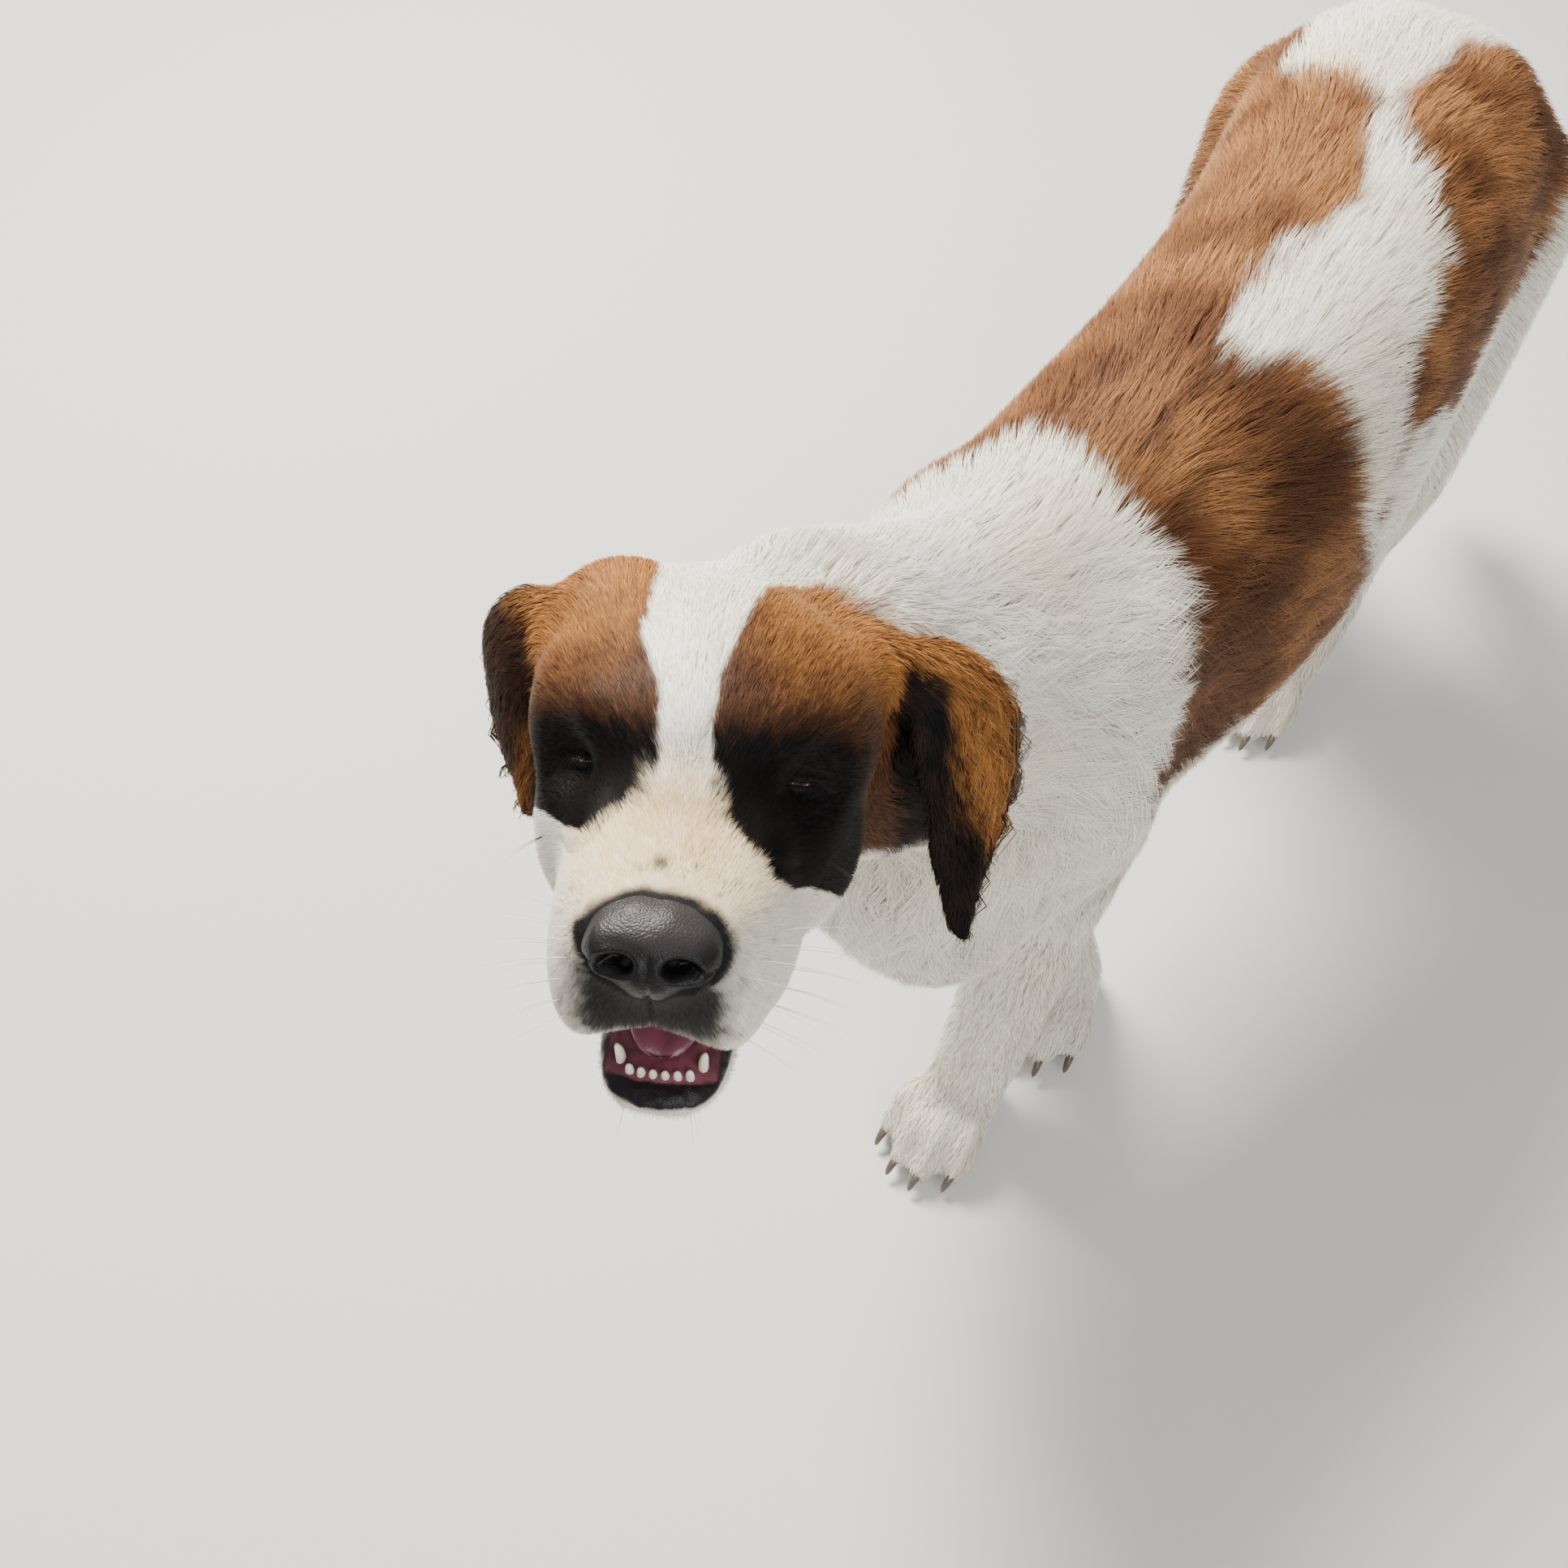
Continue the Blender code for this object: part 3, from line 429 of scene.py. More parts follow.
def fur_share(points, nose_gap):
    """1 where hair grows, 0 on the lips and lids' edges, in the mouth and under the nose."""
    head = in_head(points)
    share = (1 - mouth_share(head, 1.16)) * (1 - lip_share(head)) * (1 - gum_share(head))
    share *= step(0.0002, 0.0012, nose_gap)
    for side in EYES:
        u, v, w, slit = lid_place(points, side)
        bare = step(slit + 0.0018, slit + 0.0006, np.abs(v)) * step(0.0190, 0.0165, np.abs(u))
        share *= 1 - bare * step(-0.004, 0.0, w)
    return share


def trunk_colours(dog, hues):
    """The saddle, its white patches and the white collar, legs and tail."""
    chart = on_trunk(dog)
    ragged = 0.006 * noise(dog, 0.022, 3) + 0.004 * noise(dog, 0.009, 4)
    brown = step(-0.004, 0.006, outline_depth(chart, trunk_outline(SADDLE)) + ragged)
    for outline, rough in zip(WHITE_PATCHES, (1.3, 3.0)):
        inside = outline_depth(chart, trunk_outline(outline)) + ragged * rough
        brown *= 1 - step(-0.004, 0.006, inside)
    brown *= step(0, 0.02, dog[:, 2] - np.interp(dog[:, 1], *WHITE_BELOW) + ragged * 2)
    brown *= 1 - step(0.655, 0.675, dog[:, 1] + ragged)
    streak = noise(dog * (1, 0.35, 1), 0.010, 5) * 0.6 + noise(dog * (1, 0.3, 1), 0.024, 6) * 0.6
    # Painted shade on the left side and darker withers; redder over the back and the hips
    turn = chart[:, 1] / AROUND
    withers = 0.35 * step(0.10, 0.0, np.abs(dog[:, 1] - 0.02)) * step(0, 0.5, turn)
    dark = step(0.05, 0.75, streak + 0.55 * step(0.2, 0.75, turn) - 0.20 + withers)
    coat = mix(hues.back, hues.chestnut, step(-0.5, 0.6, noise(dog, 0.035, 7)))
    coat = mix(coat, hues.umber, dark * 0.80)
    # Dark brown in front of the white patch on the left shoulder and along the collar's lower edge
    angle = np.degrees(turn)
    ahead = dog[:, 1] - 0.098 + 0.0006 * (angle - 22)
    band = 1.3 * bell(ahead, 0.036) * bell(angle - 22, 26)
    band = band + 0.8 * bell(dog[:, 1] + 0.040, 0.030) * bell(angle - 74, 20)
    coat = mix(coat, hues.umber, np.clip(band * (1.0 + 0.8 * streak), 0, 0.88))
    white = mix(hues.white, hues.cream, 0.22 + 0.22 * noise(dog, 0.05, 8))
    # The tail and the breeches run to cream
    cream = step(0.60, 0.68, dog[:, 1]) * step(0.30, 0.45, dog[:, 2])
    white = mix(white, hues.cream, cream * (0.35 + 0.25 * noise(dog, 0.03, 9)))
    return mix(white, coat, brown)


def head_colours(head, hues):
    """The face's white blaze and muzzle, the patches over eyes and cheeks, and the ears."""
    x, y, z = head.T
    ragged = 0.0016 * noise(head, 0.009, 11) + 0.0010 * noise(head, 0.004, 12)
    grain = noise(head, 0.006, 13)
    fine = noise(head, 0.0022, 19)
    left, right = (np.interp(y, BLAZE_BACK, BLAZE_WIDE[side]) for side in ("left", "right"))
    patch = step(-0.0015, 0.0025, np.where(x > 0, x - left, -x - right) + ragged)
    edge = np.where(x > 0, *(np.interp(z, *PATCH_EDGE[side]) for side in ("left", "right")))
    patch *= step(-0.0020, 0.0020, y - edge + ragged * 1.4)
    patch *= 1 - step(0.128, 0.150, y + ragged * 4)
    patch *= step(-0.094, -0.082, z + ragged * 2)
    back = np.interp(z, *MASK_BACK) + 0.007 * step(-0.010, 0.012, z)
    back = back + 0.4 * np.minimum(np.abs(x) - 0.055, 0) * step(-0.005, 0.010, z)
    dark = step(0.016, -0.006, y - back + 0.007 * grain + 0.007 * fine)
    behind = step(0.010, -0.030, z) * step(0.020, 0.035, y)
    deep = 0.32 + 0.35 * noise(head, 0.02, 14) + 0.35 * fine
    coat = mix(hues.brow, hues.chestnut, np.clip(deep, 0, 1))
    # The brown deepens towards the black, with dark ticks over the brows
    near = step(0.096, 0.008, y - back + 0.018 * grain + 0.012 * fine)
    inner = step(0.034, 0.016, np.abs(x)) * step(0.095, 0.04, y) * np.where(x > 0, 0.45, 0.65)
    deep = behind * 0.60 + 0.15 * grain + 0.95 * near + inner
    coat = mix(coat, hues.umber, np.clip(deep, 0, 0.94))
    coat = mix(coat, hues.black, np.clip(0.55 * near * step(0.0, 0.6, fine + 0.4 * near), 0, 1))
    coat = mix(coat, mix(hues.black, hues.umber, np.clip(0.02 + 0.05 * fine, 0, 1)), dark)
    snout = step(-0.020, -0.045, y) * step(-0.045, -0.012, z)
    warm = 0.20 + 0.18 * noise(head, 0.03, 15) + 0.66 * snout + 0.30 * fine * snout
    white = mix(hues.white, hues.cream, np.clip(warm, 0, 1))
    # The bridge of the muzzle is dusty
    bridge = snout * step(0.034, 0.012, np.abs(x)) * step(-0.090, -0.070, y)
    white = mix(white, hues.back, np.clip(bridge * (0.10 + 0.10 * grain + 0.10 * fine), 0, 0.4))
    colour = mix(white, coat, patch)
    # Ears: black in front and at the tip, brown where they spring and in the wavy locks behind
    ear = step(0.086, 0.090, np.abs(x)) * step(0.045, 0.058, y)
    across = 0.74 * np.abs(x) + 0.67 * y
    front = np.interp(z, *EAR_FRONT)
    locks = step(-0.008, 0.011, across - front + 0.009 * grain + 0.006 * fine)
    rim = step(0.184, 0.192, across + 0.005 * grain) * step(0.005, -0.015, z) * 0.9
    # The right ear is nearly black, brown only at its root and in a tuft at its inner edge
    root = step(0.028, 0.042, z + 0.004 * grain) * 0.65
    tuft = step(0.100, 0.092, np.abs(x)) * step(-0.012, -0.024, z) * 0.45
    locks = np.where(x > 0, locks * (1 - rim), np.maximum(root, tuft) + 0.12 * fine)
    brown = mix(hues.brow, hues.umber, np.clip(0.18 + 0.42 * grain + 0.32 * fine, 0, 1))
    shade = np.where(x > 0, 0.10, 0.38) + 0.20 * grain
    shade = mix(hues.black, hues.umber, np.clip(shade, 0, 1))
    flap = mix(shade, brown, np.clip(locks, 0, 1))
    colour = mix(colour, flap, ear)
    # Dark short hair round and under the nose, a spot on the muzzle and a few freckles
    wide = np.interp(z, *CHIN_WIDE) + 0.004 * grain + 0.003 * fine
    chin = step(-0.080, -0.092, y) * step(-0.030, -0.044, z) * step(0.009, -0.009, np.abs(x) - wide)
    chin *= 0.97 - 0.40 * step(-0.068, -0.080, z + 0.005 * fine)
    rim = depth_in(head, (0, -0.096, -0.033), (0.0315, 0.0262, 0.0205)) + 0.05 * grain
    rim = 1 - step(1.00, 1.13, rim)
    spot = np.linalg.norm((head - SPOT_AT) * (1, 0.8, 0.3), axis=1) + 0.001 * fine
    spot = 0.8 * step(0.0055, 0.0015, spot)
    freckles = 0.55 * step(0.50, 0.75, noise(head, 0.0040, 17))
    freckles *= step(0.030, 0.012, np.abs(y + 0.088))
    marks = np.clip(np.maximum.reduce([rim, chin, spot, freckles]), 0, 1)
    return mix(colour, mix(hues.black, hues.leather, np.full(len(x), 0.4)), marks * (1 - patch))


def coat_colours(points, hues):
    """The markings at points of the row frame, for the skin and for the coat alike."""
    head = in_head(points)
    dog = points - SHIFT
    share = 1 - step(0.125, 0.165, head[:, 1] + 0.01 * noise(dog, 0.02, 18))
    share *= step(-0.02, 0.0, 0.30 - np.linalg.norm(head, axis=1))
    return mix(trunk_colours(dog, hues), head_colours(head, hues), share)


def skin_colours(points, hues):
    """Coat markings with painted shade under the hair, and bare lips, gums and eyelid rims."""
    head = in_head(points)
    coat = coat_colours(points, hues)
    # Painted shade: the skin under the hair is darker than the coat above it
    colour = mix(coat * 0.80, hues.skin * 0.6, 0.08 * step(0.10, 0.40, coat.mean(1)))
    colour = mix(colour, hues.lip, np.maximum(mouth_share(head, 1.22), lip_share(head)))
    inside = np.maximum(mouth_share(head, 1.05), gum_share(head))
    # The gum colour holds painted shade of the mouth's inside as well as its own mauve pink
    gum = mix(hues.gum, hues.lip, np.clip(0.15 + 0.6 * noise(head, 0.012, 21), 0, 0.5))
    colour = mix(colour, gum, inside)
    for side in EYES:
        u, v, w, _ = lid_place(points, side)
        rim = step(0.0065, 0.0035, np.abs(v)) * step(0.0165, 0.0135, np.abs(u))
        colour = mix(colour, hues.black, rim * step(0.0, 0.004, w))
    return colour


def wetness(points):
    """1 on the bare wet lips, gums and lids, 0 under the coat."""
    head = in_head(points)
    wet = np.maximum.reduce([mouth_share(head, 1.15), lip_share(head), gum_share(head)])
    for side in EYES:
        u, v, w, slit = lid_place(points, side)
        bare = step(slit + 0.0009, slit + 0.0003, np.abs(v)) * step(0.0190, 0.0165, np.abs(u))
        wet = np.maximum(wet, 0.10 * bare * step(-0.004, 0.0, w))
    return wet


def node_centre(name):
    low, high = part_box(name)
    return (np.array(low) + np.array(high)) / 2


def eye_axes(side):
    """Along the slit to its outer corner, up across it, and out of the head."""
    sign = 1 if side == "left" else -1
    outward = unit(np.array((sign * 0.50, -0.86, 0.10)))
    along = np.array((sign * 0.76, 0.64, -0.20))
    along = unit(along - outward * (along @ outward))
    up = np.cross(outward, along) * sign
    up = up if up[2] > 0 else -up
    return [axis @ HEAD_TURN.T for axis in (along, up, outward)]


EYE_RADIUS = 0.0125
# Half the height of the opening between the lids, which the sun has nearly shut
SLIT = 0.0001
# The eyeballs lie this much deeper than the coat's outline
EYE_DEPTH = {"left": 0.0070, "right": 0.0098}
EYES = {
    side: node_centre(f"eye_{side}") - eye_axes(side)[2] * depth
    for side, depth in EYE_DEPTH.items()
}


def new_object(name, mesh, replaced=()):
    """Puts a mesh in the scene as a piece of the dog."""
    made = bpy.data.objects.new(name, mesh)
    bpy.context.scene.collection.objects.link(made)
    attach(made, "root")
    if replaced:
        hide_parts(*replaced)
    return made


def mesh_of(name, points, faces, rounded=True):
    """A mesh from arrays; the faces all have the same number of corners."""
    mesh = bpy.data.meshes.new(name)
    points = np.asarray(points, np.float32)
    faces = np.asarray(faces, np.int32)
    corners = faces.shape[1]
    mesh.vertices.add(len(points))
    mesh.vertices.foreach_set("co", points.ravel())
    mesh.loops.add(faces.size)
    mesh.loops.foreach_set("vertex_index", faces.ravel())
    mesh.polygons.add(len(faces))
    mesh.polygons.foreach_set("loop_start", np.arange(0, faces.size, corners, dtype=np.int32))
    mesh.update(calc_edges=True)
    mesh.polygons.foreach_set("use_smooth", np.full(len(faces), rounded))
    return mesh


def move(mesh, points):
    """Puts the mesh's vertices at the points."""
    mesh.vertices.foreach_set("co", points.astype(np.float32).ravel())
    mesh.update()


def smooth(mesh):
    mesh.polygons.foreach_set("use_smooth", np.ones(len(mesh.polygons), bool))


def tube_faces(first, sides, rings, caps=()):
    """The faces of a tube of rings of points from the first one on, closed at the caps' rings."""
    faces = []
    for k in range(rings - 1):
        for j in range(sides):
            p, q = first + sides * k + j, first + sides * k + (j + 1) % sides
            faces += [(p, q, q + sides), (p, q + sides, p + sides)]
    for ring in caps:
        cap = first + sides * ring
        faces += [(cap, cap + j, cap + j + 1) for j in range(1, sides - 1)]
    return faces


def node_bmesh(name):
    """A CAD node's mesh with its faces joined at their corners."""
    bm = bmesh.new()
    bm.from_mesh(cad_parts[name].data)
    bmesh.ops.remove_doubles(bm, verts=bm.verts, dist=JOIN)
    return bm


def paint(mesh, colours):
    """Stores a linear colour for each vertex under the name Coat."""
    layer = mesh.color_attributes.new("Coat", "FLOAT_COLOR", "POINT")
    opaque = np.c_[colours, np.ones(len(colours))]
    layer.data.foreach_set("color", opaque.astype(np.float32).ravel())


def coordinates(mesh):
    co = np.empty(len(mesh.vertices) * 3, np.float32)
    mesh.vertices.foreach_get("co", co)
    return co.reshape(-1, 3).astype(float)


def normals(mesh):
    out = np.empty(len(mesh.vertices) * 3, np.float32)
    mesh.vertex_normals.foreach_get("vector", out)
    return out.reshape(-1, 3).astype(float)


def corners_of(mesh):
    """The mesh's triangles as rows of vertex numbers, with their loops."""
    mesh.calc_loop_triangles()
    verts = np.empty(len(mesh.loop_triangles) * 3, np.int32)
    loops = np.empty(len(mesh.loop_triangles) * 3, np.int32)
    mesh.loop_triangles.foreach_get("vertices", verts)
    mesh.loop_triangles.foreach_get("loops", loops)
    return verts.reshape(-1, 3), loops.reshape(-1, 3)


def tree_of(mesh):
    """The mesh's triangles, ready for the nearest point on them to be found."""
    corners = [tuple(point) for point in coordinates(mesh)]
    return BVHTree.FromPolygons(corners, corners_of(mesh)[0].tolist())


def areas(points, faces):
    """Twice each triangle's area."""
    a, b, c = (points[faces[:, k]] for k in range(3))
    return np.linalg.norm(np.cross(b - a, c - a), axis=1)


def edges_of(mesh):
    out = np.empty(len(mesh.edges) * 2, np.int32)
    mesh.edges.foreach_get("vertices", out)
    return out.reshape(-1, 2)


def relaxed(points, edges, rounds, amount):
    """The points eased towards their neighbours; the amount is given for each point."""
    a, b = edges.T
    size = len(points)
    count = np.maximum(np.bincount(a, minlength=size) + np.bincount(b, minlength=size), 1)[:, None]
    for _ in range(rounds):
        total = np.stack([
            np.bincount(a, points[b, k], size) + np.bincount(b, points[a, k], size)
            for k in range(3)
        ], 1)
        points = points + amount[:, None] * (total / count - points)
    return points


def remeshed(name, bm, voxel):
    """The bmesh closed into one skin of even small faces, with only its largest body kept."""
    mesh = bpy.data.meshes.new(name)
    bm.to_mesh(mesh)
    bm.free()
    holder = bpy.data.objects.new(name, mesh)
    bpy.context.scene.collection.objects.link(holder)
    change = holder.modifiers.new("close", "REMESH")
    change.mode = "VOXEL"
    change.voxel_size = voxel
    bpy.context.view_layer.update()
    closed = holder.evaluated_get(bpy.context.evaluated_depsgraph_get())
    made = bpy.data.meshes.new_from_object(closed)
    bpy.data.objects.remove(holder)
    bpy.data.meshes.remove(mesh)
    edges = edges_of(made)
    label = np.arange(len(made.vertices))
    while True:
        low = np.minimum(label[edges[:, 0]], label[edges[:, 1]])
        fresh = label.copy()
        np.minimum.at(fresh, edges[:, 0], low)
        np.minimum.at(fresh, edges[:, 1], low)
        fresh = fresh[fresh]
        if np.array_equal(fresh, label):
            break
        label = fresh
    largest = np.bincount(label).argmax()
    bm = bmesh.new()
    bm.from_mesh(made)
    strays = [vert for vert, mark in zip(bm.verts, label) if mark != largest]
    bmesh.ops.delete(bm, geom=strays, context="VERTS")
    bm.to_mesh(made)
    bm.free()
    return made


def add(tree, kind, settings=None, **links):
    """A node, its settings, and the sockets linked to its inputs by name, or _ and a number."""
    made = tree.nodes.new(kind)
    for key, value in (settings or {}).items():
        if key in made.inputs:
            made.inputs[key].default_value = value
        else:
            setattr(made, key, value)
    for key, socket in links.items():
        target = int(key[1:]) if key.startswith("_") else key.replace("_", " ")
        tree.links.new(socket, made.inputs[target])
    return made


def new_material(name, painted=False, **settings):
    """A material, its tree and its shader with inputs set; painted takes the mesh's colours."""
    made = bpy.data.materials.new(name)
    made.use_nodes = True
    tree = made.node_tree
    shader = tree.nodes["Principled BSDF"]
    for key, value in settings.items():
        shader.inputs[key.replace("_", " ")].default_value = value
    if painted:
        colour = add(tree, "ShaderNodeAttribute", {"attribute_name": "Coat"})
        tree.links.new(colour.outputs["Color"], shader.inputs["Base Color"])
    return made, tree, shader


def skin_material():
    """Furred skin: a dull velvet of short hair under the tufts, bare and wet at lips and lids."""
    made, tree, shader = new_material("furred_skin", Specular_IOR_Level=0.20)
    colour = add(tree, "ShaderNodeAttribute", {"attribute_name": "Coat"})
    place = add(tree, "ShaderNodeTexCoord")
    # Hair ends break the flat colour and catch the light
    grain = add(tree, "ShaderNodeTexNoise", {"Scale": 1 / HAIR_ENDS, "Detail": 2.0},
                Vector=place.outputs["Object"])
    shade = add(tree, "ShaderNodeMapRange", {"To Min": 0.72, "To Max": 1.16},
                Value=grain.outputs["Fac"])
    dotted = add(tree, "ShaderNodeVectorMath", {"operation": "SCALE"},
                 _0=colour.outputs["Color"], Scale=shade.outputs["Result"])
    tree.links.new(dotted.outputs["Vector"], shader.inputs["Base Color"])
    bump = add(tree, "ShaderNodeBump", {"Strength": 0.5, "Distance": 0.0006},
               Height=grain.outputs["Fac"])
    tree.links.new(bump.outputs["Normal"], shader.inputs["Normal"])
    wet = add(tree, "ShaderNodeAttribute", {"attribute_name": "Wet"})
    gloss = add(tree, "ShaderNodeMapRange", {"To Min": 0.72, "To Max": 0.22},
                Value=wet.outputs["Fac"])
    tree.links.new(gloss.outputs["Result"], shader.inputs["Roughness"])
    return made


def coat_material():
    """Dry dog hair: nearly matte, so that black stays deep and white doesn't glare."""
    return new_material("dog_hair", painted=True, Roughness=0.50, Specular_IOR_Level=0.10)[0]


def whisker_material():
    """Stiff smooth hair, which catches a thin line of light."""
    return new_material("whisker_hair", painted=True, Roughness=0.35)[0]


def eye_material():
    """Eyeball under a film of tears, which gives a small sharp glint."""
    return new_material(
        "wet_eye", painted=True, Roughness=0.06, IOR=1.376, Coat_Weight=1.0, Coat_Roughness=0.02)[0]


def nose_material(pebble):
    """Moist nose leather, whose pebbles break a soft shine."""
    made, tree, shader = new_material(
        "nose_leather", painted=True, Roughness=0.40, Specular_IOR_Level=0.22)
    place = add(tree, "ShaderNodeTexCoord")
    cells = add(tree, "ShaderNodeTexVoronoi", {"Scale": 1 / pebble}, Vector=place.outputs["Object"])
    bump = add(tree, "ShaderNodeBump", {"Strength": 0.5, "Distance": 0.0004, "invert": True},
               Height=cells.outputs["Distance"])
    tree.links.new(bump.outputs["Normal"], shader.inputs["Normal"])
    return made


def tongue_material(colour):
    """Wet flesh with papillae: it gleams, and light sinks in a little."""
    made, tree, shader = new_material(
        "wet_tongue", Base_Color=(*colour, 1), Roughness=0.28, Specular_IOR_Level=0.6,
        Subsurface_Weight=0.08, Subsurface_Radius=(0.004, 0.0015, 0.001))
    place = add(tree, "ShaderNodeTexCoord")
    grain = add(tree, "ShaderNodeTexNoise", {"Scale": 1 / PAPILLAE}, Vector=place.outputs["Object"])
    bump = add(tree, "ShaderNodeBump", {"Strength": 0.35, "Distance": 0.0005},
               Height=grain.outputs["Fac"])
    tree.links.new(bump.outputs["Normal"], shader.inputs["Normal"])
    return made


def tooth_material(colour):
    """Smooth enamel: a clear highlight over a faint glow."""
    return new_material(
        "tooth_enamel", Base_Color=(*colour, 1), Roughness=0.18, IOR=1.62,
        Subsurface_Weight=0.1, Subsurface_Radius=(0.002, 0.0015, 0.001))[0]


def claw_material(colour):
    """Horn worn smooth by walking: dark, with a soft sheen."""
    return new_material("claw_horn", Base_Color=(*colour, 1), Roughness=0.38, IOR=1.54)[0]


def floor_material(colour):
    """Matte studio board, with no reflection."""
    return new_material("studio_floor", Base_Color=(*colour, 1), Roughness=0.85)[0]


def build_skin(sizes):
    """One skin over the CAD's flesh, eased, pulled in by the coat's depth and sculpted."""
    bm = bmesh.new()
    for name in FLESH + ["eye_left", "eye_right", "nose"]:
        node = node_bmesh(name)
        node.normal_update()
        for vert in node.verts:
            vert.co += vert.normal * SWELLING
        if name == "lower_jaw":
            for vert in node.verts:
                shut = in_jaw(in_head(np.array(vert.co)))
                if shut[1] < -0.050 and shut[2] > -0.0725:
                    shut[2] = -0.0725
                    vert.co = from_jaw(shut)
        shell = bpy.data.meshes.new("part")
        node.to_mesh(shell)
        node.free()
        bm.from_mesh(shell)
        bpy.data.meshes.remove(shell)
    mesh = remeshed("skin", bm, sizes.voxel)
    points = coordinates(mesh)
    head = in_head(points)
    face = 1 - step(0.11, 0.17, head[:, 1])
    face *= step(-0.02, 0, 0.30 - np.linalg.norm(head, axis=1))
    low = 1 - step(0.09, 0.14, points[:, 2])
    fine = np.clip(face + low, 0, 1)
    edges = edges_of(mesh)
    points = relaxed(points, edges, 10, np.full(len(points), 0.5))
    points = relaxed(points, edges, 50, 0.5 * (1 - fine))
    move(mesh, points)
    _, _, depth = lie_at(points, lie_guides())
    inner = mouth_share(in_head(points), 1.1)
    # Flush with the nose leather at its edge, and well below it underneath
    nose_gap = gap_to("nose", points, 0.012)
    depth = depth * (0.15 + 0.85 * step(0.0, 0.010, nose_gap))
    depth = depth + 0.011 * step(0.0004, -0.0010, nose_gap)
    points = points - normals(mesh) * (depth * (1 - inner))[:, None]
    points = relaxed(points, edges, 6, 0.5 * (1 - fine * 0.7))
    points[:, 2] = np.maximum(points[:, 2], SKIN_FLOOR)
    move(mesh, points)
    refine(mesh, lambda p: in_face(in_head(p)))
    refine(mesh, near_detail)
    sculpt_face(mesh)
    return mesh


def in_face(head):
    away = np.linalg.norm(head, axis=1)
    return (head[:, 1] < 0.09) & (away < 0.15) & (np.abs(head[:, 0]) < 0.085)


def near_detail(points):
    """The eyes and the rims of the mouth, which need the finest faces."""
    head = in_head(points)
    close = np.zeros(len(points), bool)
    for centre in EYES.values():
        close |= np.linalg.norm(points - centre, axis=1) < 0.030
    lips = mouth_share(head, 1.45) * (1 - mouth_share(head, 0.85))
    return close | ((lips > 0.3) & (head[:, 1] < 0.0))


def refine(mesh, chosen):
    """Halves the faces whose corners are all chosen."""
    points = coordinates(mesh)
    marked = chosen(points)
    bm = bmesh.new()
    bm.from_mesh(mesh)
    edges = [e for e in bm.edges if marked[e.verts[0].index] and marked[e.verts[1].index]]
    bmesh.ops.subdivide_edges(bm, edges=edges, cuts=1, use_grid_fill=True, smooth=0.6)
    bmesh.ops.triangulate(bm, faces=[f for f in bm.faces if len(f.verts) > 4])
    bm.to_mesh(mesh)
    bm.free()
    mesh.update()


def sculpt_face(mesh):
    """Lids over the eyes, the groove under the nose, lip rolls and folds."""
    points = coordinates(mesh)
    for side, centre in EYES.items():
        u, v, w, slit = lid_place(points, side)
        rel = points - centre
        reach = np.hypot(u * 0.85, v)
        near = (1 - step(0.0070, 0.0210, reach)) * step(-0.006, 0.002, w)
        radius = np.maximum(np.linalg.norm(rel, axis=1), 1e-6)
        # Lids squeezed shut: a fold above, a pouch below, and the slit drawn in between them
        lid = EYE_RADIUS + 0.0009 + 0.0005 * bell(v - 0.0026, 0.0018)
        lid = lid + 0.0006 * bell(v + 0.0038, 0.0028)
        lid = lid - 0.0005 * bell(v - 0.0062, 0.0012)
        lid = lid - 0.0004 * bell(v + 0.0085, 0.0014)
        lid = lid + 0.0014 * bell(v - 0.0110, 0.0035)
        parted = step(0.0006, -0.0002, np.abs(v) - slit) * step(0.0135, 0.0110, np.abs(u))
        # The slit runs on as a fine crease at both corners
        lid = lid - 0.0022 * bell(v, 0.0010) * step(0.0210, 0.0165, np.abs(u))
        target = lid * (1 - parted) + (EYE_RADIUS - 0.0014) * parted
        points = points + rel * (target / radius - 1)[:, None] * near[:, None]
    head = in_head(points)
    x, y, z = head.T
    over = normals(mesh) @ HEAD_TURN
    shift = np.zeros_like(head)
    # The right ear lies against the cheek
    shift[:, 0] += 0.0065 * step(-0.084, -0.092, x) * step(0.045, 0.058, y) * step(0.020, -0.020, z)
    # Groove from the nose to the lip
    groove = bell(x, 0.0015) * step(-0.046, -0.054, z) * step(-0.085, -0.095, y)
    shift[:, 1] += 0.0026 * groove
    # The lower lip swells over the jaw's edge, with small bumps
    shift += over * (lip_share(head) * (0.0012 + 0.0006 * noise(head, 0.0035, 33)))[:, None]
    # A crease from the inner corner of the eye along the muzzle, and furrows over the brow
    line = np.abs(z + 0.016 + (np.abs(x) - 0.036) * 1.0 + 0.002 * noise(head, 0.02, 31))
    crease = bell(line, 0.0016) * step(0.026, 0.032, np.abs(x)) * step(0.056, 0.048, np.abs(x))
    crease *= step(-0.070, -0.055, y) * step(0.000, -0.015, y)
    furrow = bell(np.abs(x) - 0.009 - 0.06 * np.clip(z - 0.02, 0, 1), 0.0022)
    furrow *= step(0.012, 0.022, z) * step(0.058, 0.045, z) * step(0.02, 0.0, y)
    shift -= over * (0.0014 * crease + 0.0012 * furrow)[:, None]
    points = points + shift @ HEAD_TURN.T
    move(mesh, points)
    smooth(mesh)


def unwrap(made):
    """An unwrap of the skin's own shape, from which each tuft takes its place."""
    bpy.context.view_layer.objects.active = made
    made.select_set(True)
    bpy.ops.object.mode_set(mode="EDIT")
    bpy.ops.mesh.select_all(action="SELECT")
    bpy.ops.uv.smart_project(angle_limit=math.radians(66), island_margin=0.0)
    bpy.ops.object.mode_set(mode="OBJECT")
    made.select_set(False)


